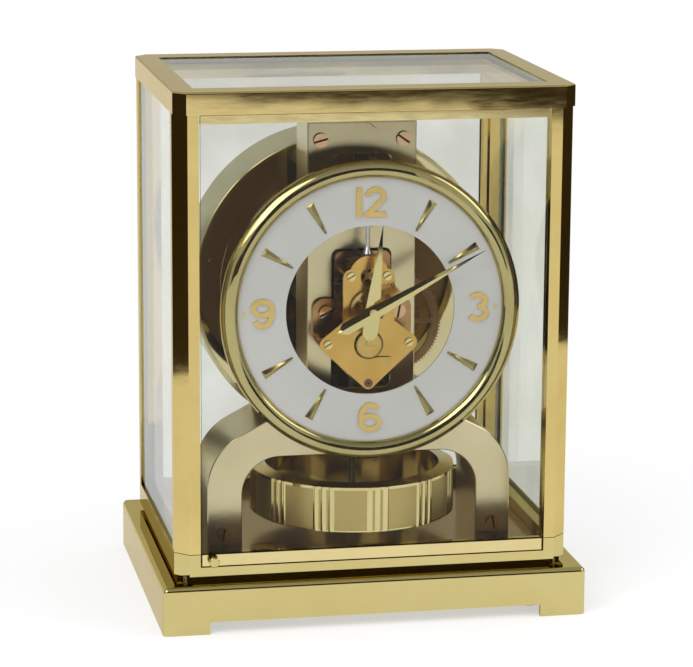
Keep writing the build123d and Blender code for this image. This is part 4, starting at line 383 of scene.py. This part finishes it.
# Barrel, train and escapement. Wheels cut from the same fine-grained brass, with its lighter colour,
# steel pinions and pallets, and a grey mainspring closed inside its barrel.
give(wheel_brass, "barrel", "barrel_arbor", "centre_wheel", "minute_wheel", "hour_wheel", "escape_wheel")
give(wheel_brass, "ratchet_wheel", "click")
give(steel, "cannon_pinion", "pallet_lever")
give(wire_steel, "mainspring")


# Balance. A heavy turned ring on three arms and a steel staff. The bars, the rim and the edges are
# polished, and the panels between the bars are blasted to a sandy satin before the plating. Places
# are in metres. The sand is drawn 0.55 mm wide so that it shows.
balance_y = -0.014
panel_radius = 0.046
panel_bottom = 0.0392
panel_top = 0.0574
panel_skin = 0.0002
panel_reach = 0.00028
sand_size = 0.55
sand_depth = 0.00004
bright_cloud = 18


def balance_plate(name):
    """Plated ring: polished where it stands out, sandy satin on the panels between."""
    material, tree = start(name)
    place = add(tree, "ShaderNodeTexCoord").outputs["Object"]
    centred = add(tree, "ShaderNodeVectorMath", {1: (0.0, -balance_y, 0.0)}, {0: place}).outputs[0]
    flat = add(tree, "ShaderNodeVectorMath", {1: (1.0, 1.0, 0.0)}, {0: centred},
               operation="MULTIPLY").outputs[0]
    reach = add(tree, "ShaderNodeVectorMath", None, {0: flat}, operation="LENGTH").outputs["Value"]
    height = add(tree, "ShaderNodeSeparateXYZ", None, {0: place}).outputs[2]
    outside = add(tree, "ShaderNodeMath", {1: panel_radius - panel_skin, 2: panel_reach}, {0: reach},
                  operation="COMPARE").outputs[0]
    above = add(tree, "ShaderNodeMath", {1: panel_bottom}, {0: height}, operation="GREATER_THAN").outputs[0]
    below = add(tree, "ShaderNodeMath", {1: panel_top}, {0: height}, operation="LESS_THAN").outputs[0]
    band = add(tree, "ShaderNodeMath", None, {0: above, 1: below}, operation="MULTIPLY").outputs[0]
    panel = add(tree, "ShaderNodeMath", None, {0: outside, 1: band}, operation="MULTIPLY").outputs[0]
    sand = add(tree, "ShaderNodeTexNoise", {"Scale": per_mm(sand_size), "Detail": 3.0, "Roughness": 0.7},
               {"Vector": place}).outputs[0]
    sandy = add(tree, "ShaderNodeMix", {"A": linear("#B8A468"), "B": linear("#D0BC82")}, {"Factor": sand},
                data_type="RGBA").outputs["Result"]
    clouds = add(tree, "ShaderNodeTexNoise", {"Scale": per_mm(bright_cloud), "Detail": 2.0},
                 {"Vector": place}).outputs[0]
    bright = add(tree, "ShaderNodeMix", {"A": linear("#D6C588"), "B": linear("#E6D8A2")}, {"Factor": clouds},
                 data_type="RGBA").outputs["Result"]
    colour = add(tree, "ShaderNodeMix", None, {"Factor": panel, "A": bright, "B": sandy},
                 data_type="RGBA").outputs["Result"]
    gloss = add(tree, "ShaderNodeMapRange", {"To Min": 0.1, "To Max": 0.42}, {"Value": panel}).outputs[0]
    depth = add(tree, "ShaderNodeMath", None, {0: sand, 1: panel}, operation="MULTIPLY").outputs[0]
    pits = add(tree, "ShaderNodeBump", {"Strength": 0.5, "Distance": sand_depth},
               {"Height": depth}).outputs[0]
    metal = add(tree, "ShaderNodeBsdfPrincipled", {"Metallic": 1.0},
                {"Base Color": colour, "Roughness": gloss, "Normal": pits})
    add(tree, "ShaderNodeOutputMaterial", None, {"Surface": metal.outputs[0]})
    return material


give(balance_plate("gold_plated_balance_ring"), "balance_ring")
give(champagne, "balance_arms")
give(steel, "balance_staff")


# Dial. A brass ring, silvered by rubbing and lacquered, which gives a cool pale grey without
# a clear reflection. Its carrier behind it is drawn a dull brown as painted shade, which the
# drum cover mirrors as the shaded back of the dial.
silver_grain = 0.6
silver_cloud = 30
silver_depth = 0.00001


def silvered(name):
    """Rubbed silvering under clear lacquer: pale cool grey with a very fine grain."""
    material, tree = start(name)
    place = add(tree, "ShaderNodeTexCoord").outputs["Object"]
    grain = add(tree, "ShaderNodeTexNoise", {"Scale": per_mm(silver_grain), "Detail": 2.0},
                {"Vector": place}).outputs[0]
    clouds = add(tree, "ShaderNodeTexNoise", {"Scale": per_mm(silver_cloud), "Detail": 2.0},
                 {"Vector": place}).outputs[0]
    total = add(tree, "ShaderNodeMath", None, {0: grain, 1: clouds}, operation="ADD").outputs[0]
    both = add(tree, "ShaderNodeMath", {1: 0.5}, {0: total}, operation="MULTIPLY").outputs[0]
    colour = add(tree, "ShaderNodeMix", {"A": linear("#D2D0D2"), "B": linear("#DEDCDC")}, {"Factor": both},
                 data_type="RGBA").outputs["Result"]
    pits = add(tree, "ShaderNodeBump", {"Strength": 0.15, "Distance": silver_depth},
               {"Height": grain}).outputs[0]
    coat = add(tree, "ShaderNodeBsdfPrincipled", {"Metallic": 0.25, "Roughness": 0.42},
               {"Base Color": colour, "Normal": pits})
    add(tree, "ShaderNodeOutputMaterial", None, {"Surface": coat.outputs[0]})
    return material


give(silvered("silvered_dial_ring"), "dial_plate")
# The carrier is drawn dull brown as painted shade, for the drum cover to mirror.
give(polished_plate("brown_dial_carrier_painted_shade", "#9C8268", "#84694E", 0.4, 0.00001, 20), "dial_carrier")


# Bezel. A brass ring spun to a rounded section, buffed and plated. It is pushed over the carrier and
# mirrors the room in fine bright and dark lines round the dial.
bezel_plate = polished_plate("gold_plated_spun_bezel", "#C6BB88", "#B5A872", 0.05, 0.00001, 24)
give(bezel_plate, "bezel")


# Numerals and hour markers. Stamped from brass, polished and riveted to the dial. The figures are
# flat and plated in a warm gold, the markers are ridged wedges in a paler and duller one.
applique_gold = polished_plate("warm_gold_appliques", "#E6CB8C", "#D6B66E", 0.14, 0.00001, 5)
marker_gold = polished_plate("gold_plated_markers", "#AEA170", "#94885A", 0.17, 0.00001, 6)
give(applique_gold, "numerals")
give(marker_gold, "hour_markers")


# Hands. Faceted brass kites with a sharp ridge, diamond turned and plated. Towards their fine tips
# a dark reflection is painted into the colour. Lengths are from the arbor, in metres.
arbor_height = 0.1367
hour_reflection_fade_from = 0.024
hour_dark_from = 0.030
minute_reflection_fade_from = 0.034
minute_dark_from = 0.050
cut_gap = 0.7
# Dark colour of the reflection painted towards the tips.
painted_tip_reflection = "#3B3026"


def hand_plate(name, reflection_fade_from, dark_from):
    """Plated brass, with a dark reflection painted in towards the tip of a hand."""
    material, tree = start(name)
    place = add(tree, "ShaderNodeTexCoord").outputs["Object"]
    centred = add(tree, "ShaderNodeVectorMath", {1: (0.0, 0.0, -arbor_height)}, {0: place}).outputs[0]
    flat = add(tree, "ShaderNodeVectorMath", {1: (1.0, 0.0, 1.0)}, {0: centred},
               operation="MULTIPLY").outputs[0]
    reach = add(tree, "ShaderNodeVectorMath", None, {0: flat}, operation="LENGTH").outputs["Value"]
    tip_reflection = add(tree, "ShaderNodeMapRange", {"From Min": reflection_fade_from, "From Max": dark_from}, {"Value": reach},
               interpolation_type="SMOOTHSTEP").outputs[0]
    cuts = add(tree, "ShaderNodeTexNoise", {"Scale": per_mm(cut_gap), "Detail": 2.0},
               {"Vector": place}).outputs[0]
    plating = add(tree, "ShaderNodeMix", {"A": linear("#D2C488"), "B": linear("#E2D69E")}, {"Factor": cuts},
                  data_type="RGBA").outputs["Result"]
    # Painted dark reflection: beyond the first length the colour fades to dark brown.
    colour = add(tree, "ShaderNodeMix", {"B": linear(painted_tip_reflection)}, {"Factor": tip_reflection, "A": plating},
                 data_type="RGBA").outputs["Result"]
    gloss = add(tree, "ShaderNodeMapRange", {"To Min": 0.07, "To Max": 0.13}, {"Value": cuts}).outputs[0]
    metal = add(tree, "ShaderNodeBsdfPrincipled", {"Metallic": 1.0},
                {"Base Color": colour, "Roughness": gloss})
    add(tree, "ShaderNodeOutputMaterial", None, {"Surface": metal.outputs[0]})
    return material


give(hand_plate("gold_plated_hour_hand", hour_reflection_fade_from, hour_dark_from), "hour_hand")
give(hand_plate("gold_plated_minute_hand", minute_reflection_fade_from, minute_dark_from), "minute_hand")


# Studio table. White card that the clock stands on. Near the clock it keeps the shadow, and further
# out it runs into the white backdrop. Lengths are in metres, the card's fibres in millimetres.
table_reach = 4
shadow_to = 0.14
white_from = 0.32
fibre_size = 3


def card_table(name):
    """White card: lit near the clock, plain white far from it."""
    material, tree = start(name)
    place = add(tree, "ShaderNodeTexCoord").outputs["Object"]
    reach = add(tree, "ShaderNodeVectorMath", None, {0: place}, operation="LENGTH").outputs["Value"]
    far = add(tree, "ShaderNodeMapRange", {"From Min": shadow_to, "From Max": white_from}, {"Value": reach},
              interpolation_type="SMOOTHSTEP").outputs[0]
    rays = add(tree, "ShaderNodeLightPath").outputs
    seen = add(tree, "ShaderNodeMath", None, {0: rays["Is Camera Ray"], 1: rays["Is Glossy Ray"]},
               operation="MAXIMUM").outputs[0]
    seen = add(tree, "ShaderNodeMath", None, {0: seen, 1: rays["Is Transmission Ray"]},
               operation="MAXIMUM").outputs[0]
    fibres = add(tree, "ShaderNodeTexNoise", {"Scale": per_mm(fibre_size), "Detail": 3.0},
                 {"Vector": place}).outputs[0]
    paper = add(tree, "ShaderNodeMix", {"A": linear("#BFBFC1"), "B": linear("#C6C6C6")}, {"Factor": fibres},
                data_type="RGBA").outputs["Result"]
    lit = add(tree, "ShaderNodeBsdfDiffuse", None, {"Color": paper})
    glow = add(tree, "ShaderNodeEmission", {"Color": linear("#FFFFFF"), "Strength": 0.5})
    near = add(tree, "ShaderNodeAddShader", None, {0: lit.outputs[0], 1: glow.outputs[0]})
    white = add(tree, "ShaderNodeEmission", {"Color": linear("#FFFFFF"), "Strength": 1.0})
    viewed = add(tree, "ShaderNodeMixShader", None, {0: far, 1: near.outputs[0], 2: white.outputs[0]})
    bounce = add(tree, "ShaderNodeBsdfDiffuse", {"Color": linear("#E2E2E2")})
    table = add(tree, "ShaderNodeMixShader", None, {0: seen, 1: bounce.outputs[0], 2: viewed.outputs[0]})
    add(tree, "ShaderNodeOutputMaterial", None, {"Surface": table.outputs[0]})
    return material


def flat_sheet(name, corners, material):
    """One flat sheet of the studio, which isn't part of the clock."""
    mesh = bpy.data.meshes.new(name)
    mesh.from_pydata(corners, [], [(0, 1, 2, 3)])
    sheet = bpy.data.objects.new(name, mesh)
    bpy.context.scene.collection.objects.link(sheet)
    mesh.materials.append(material)
    return sheet


table_corners = [(x * table_reach, y * table_reach, 0) for x, y in ((-1, -1), (1, -1), (1, 1), (-1, 1))]
flat_sheet("studio_table", table_corners, card_table("white_card"))


# Dark flags. Cloth cards that stand at the front and the sides, out of the camera's sight, so that
# the polished metal has something dark to mirror. Each is given by the points of its lower edge and
# by its top, in metres. The cloth is uneven over about 120 mm.
cloth_patch = 120
flags = (
    ("front_flag", ((-0.9, -1.08, 0.11), (0.03, -1.08, 0.097), (0.12, -1.08, 0.089), (0.27, -1.08, 0.086),
                    (0.36, -1.08, 0.074), (0.42, -1.08, 0.05), (0.9, -1.02, 0.05)), 0.3),
    ("upper_flag", ((-0.5, -1.08, 0.3), (0.5, -1.08, 0.3)), 0.75),
    ("left_flag", ((-0.56, -0.06, 0.001), (-0.56, -0.34, 0.001)), 0.4),
    ("right_flag", ((0.62, -0.1, 0.001), (0.60, 0.35, 0.001)), 0.4),
)


def flag_cloth(name):
    """Dark brown-black studio cloth."""
    material, tree = start(name)
    place = add(tree, "ShaderNodeTexCoord").outputs["Object"]
    weave = add(tree, "ShaderNodeTexNoise", {"Scale": per_mm(cloth_patch), "Detail": 3.0},
                {"Vector": place}).outputs[0]
    colour = add(tree, "ShaderNodeMix", {"A": linear("#2C2418"), "B": linear("#453A2A")}, {"Factor": weave},
                 data_type="RGBA").outputs["Result"]
    cloth = add(tree, "ShaderNodeBsdfDiffuse", None, {"Color": colour})
    add(tree, "ShaderNodeOutputMaterial", None, {"Surface": cloth.outputs[0]})
    return material


cloth = flag_cloth("dark_studio_cloth")
for flag_name, edge, top in flags:
    mesh = bpy.data.meshes.new(flag_name)
    corners = [corner for x, y, z in edge for corner in ((x, y, z), (x, y, top))]
    panels = [(2 * n, 2 * n + 2, 2 * n + 3, 2 * n + 1) for n in range(len(edge) - 1)]
    mesh.from_pydata(corners, [], panels)
    mesh.materials.append(cloth)
    flag = bpy.data.objects.new(flag_name, mesh)
    bpy.context.scene.collection.objects.link(flag)
    flag.visible_camera = False
    flag.visible_shadow = False
    flag.visible_diffuse = False


# Studio light. A white room that is a little darker overhead, one large soft box at the upper left
# and a smaller one at the right. Both boxes point at the lower half of the clock.
ceiling_from = 0.35
ceiling_to = 0.8
ceiling_level = 0.6
fill_level = 0.8
light_aim = Vector((0, 0, 0.1))
soft_boxes = (
    ("left_soft_box", (-0.75, -0.85, 0.95), 0.8, 7.5),
    ("right_soft_box", (0.95, -0.35, 0.75), 0.6, 2.6),
)
world = bpy.data.worlds.new("white_studio")
bpy.context.scene.world = world
world.use_nodes = True
sky = world.node_tree
sky.nodes.clear()
rays = add(sky, "ShaderNodeLightPath").outputs
seen = add(sky, "ShaderNodeMath", None, {0: rays["Is Camera Ray"], 1: rays["Is Glossy Ray"]},
           operation="MAXIMUM").outputs[0]
seen = add(sky, "ShaderNodeMath", None, {0: seen, 1: rays["Is Transmission Ray"]},
           operation="MAXIMUM").outputs[0]
direction = add(sky, "ShaderNodeTexCoord").outputs["Generated"]
height = add(sky, "ShaderNodeSeparateXYZ", None, {0: direction}).outputs[2]
ceiling = add(sky, "ShaderNodeMapRange", {"From Min": ceiling_from, "From Max": ceiling_to, "To Min": 1.0,
                                          "To Max": ceiling_level}, {"Value": height}).outputs[0]
paper = add(sky, "ShaderNodeMix", {"A": linear("#FFFFFF"), "B": linear("#D6D7D1")},
            {"Factor": rays["Is Glossy Ray"]}, data_type="RGBA").outputs["Result"]
room = add(sky, "ShaderNodeBackground", None, {"Color": paper, "Strength": ceiling})
fill = add(sky, "ShaderNodeBackground", {"Color": linear("#F7F8FA"), "Strength": fill_level})
both = add(sky, "ShaderNodeMixShader", None, {0: seen, 1: fill.outputs[0], 2: room.outputs[0]})
add(sky, "ShaderNodeOutputWorld", None, {"Surface": both.outputs[0]})

for lamp_name, spot, side, power in soft_boxes:
    light = bpy.data.lights.new(lamp_name, "AREA")
    light.shape = "SQUARE"
    light.size = side
    light.energy = power
    lamp = bpy.data.objects.new(lamp_name, light)
    bpy.context.scene.collection.objects.link(lamp)
    lamp.location = spot
    lamp.rotation_euler = (light_aim - Vector(spot)).to_track_quat("-Z", "Y").to_euler()


# Camera. It stands a little to the left of the clock, above it and 1.3 m away, with a long lens.
# Its place, tilt and lens were fitted to the corners of the case and to the dial.
turn = math.radians(-11.177)
lift = math.radians(12.292)
roll = math.radians(0.355)
target = Vector((0.00005, 0.0, 0.114816))
distance = 1.323892
focal_length = 151.87
film_width = 36.0
back = Vector((math.sin(turn) * math.cos(lift), -math.cos(turn) * math.cos(lift), math.sin(lift)))
right = Vector((math.cos(turn), math.sin(turn), 0.0))
up = back.cross(right)
across = math.cos(roll) * right + math.sin(roll) * up
upward = -math.sin(roll) * right + math.cos(roll) * up
lens = bpy.data.cameras.new("photo_camera")
lens.sensor_fit = "HORIZONTAL"
lens.sensor_width = film_width
lens.lens = focal_length
lens.clip_start = 0.05
lens.clip_end = 50.0
camera = bpy.data.objects.new("photo_camera", lens)
bpy.context.scene.collection.objects.link(camera)
facing = Matrix((across, upward, back)).transposed().to_4x4()
camera.matrix_world = Matrix.Translation(target + back * distance) @ facing
bpy.context.scene.camera = camera
bpy.context.scene.view_settings.view_transform = "Standard"
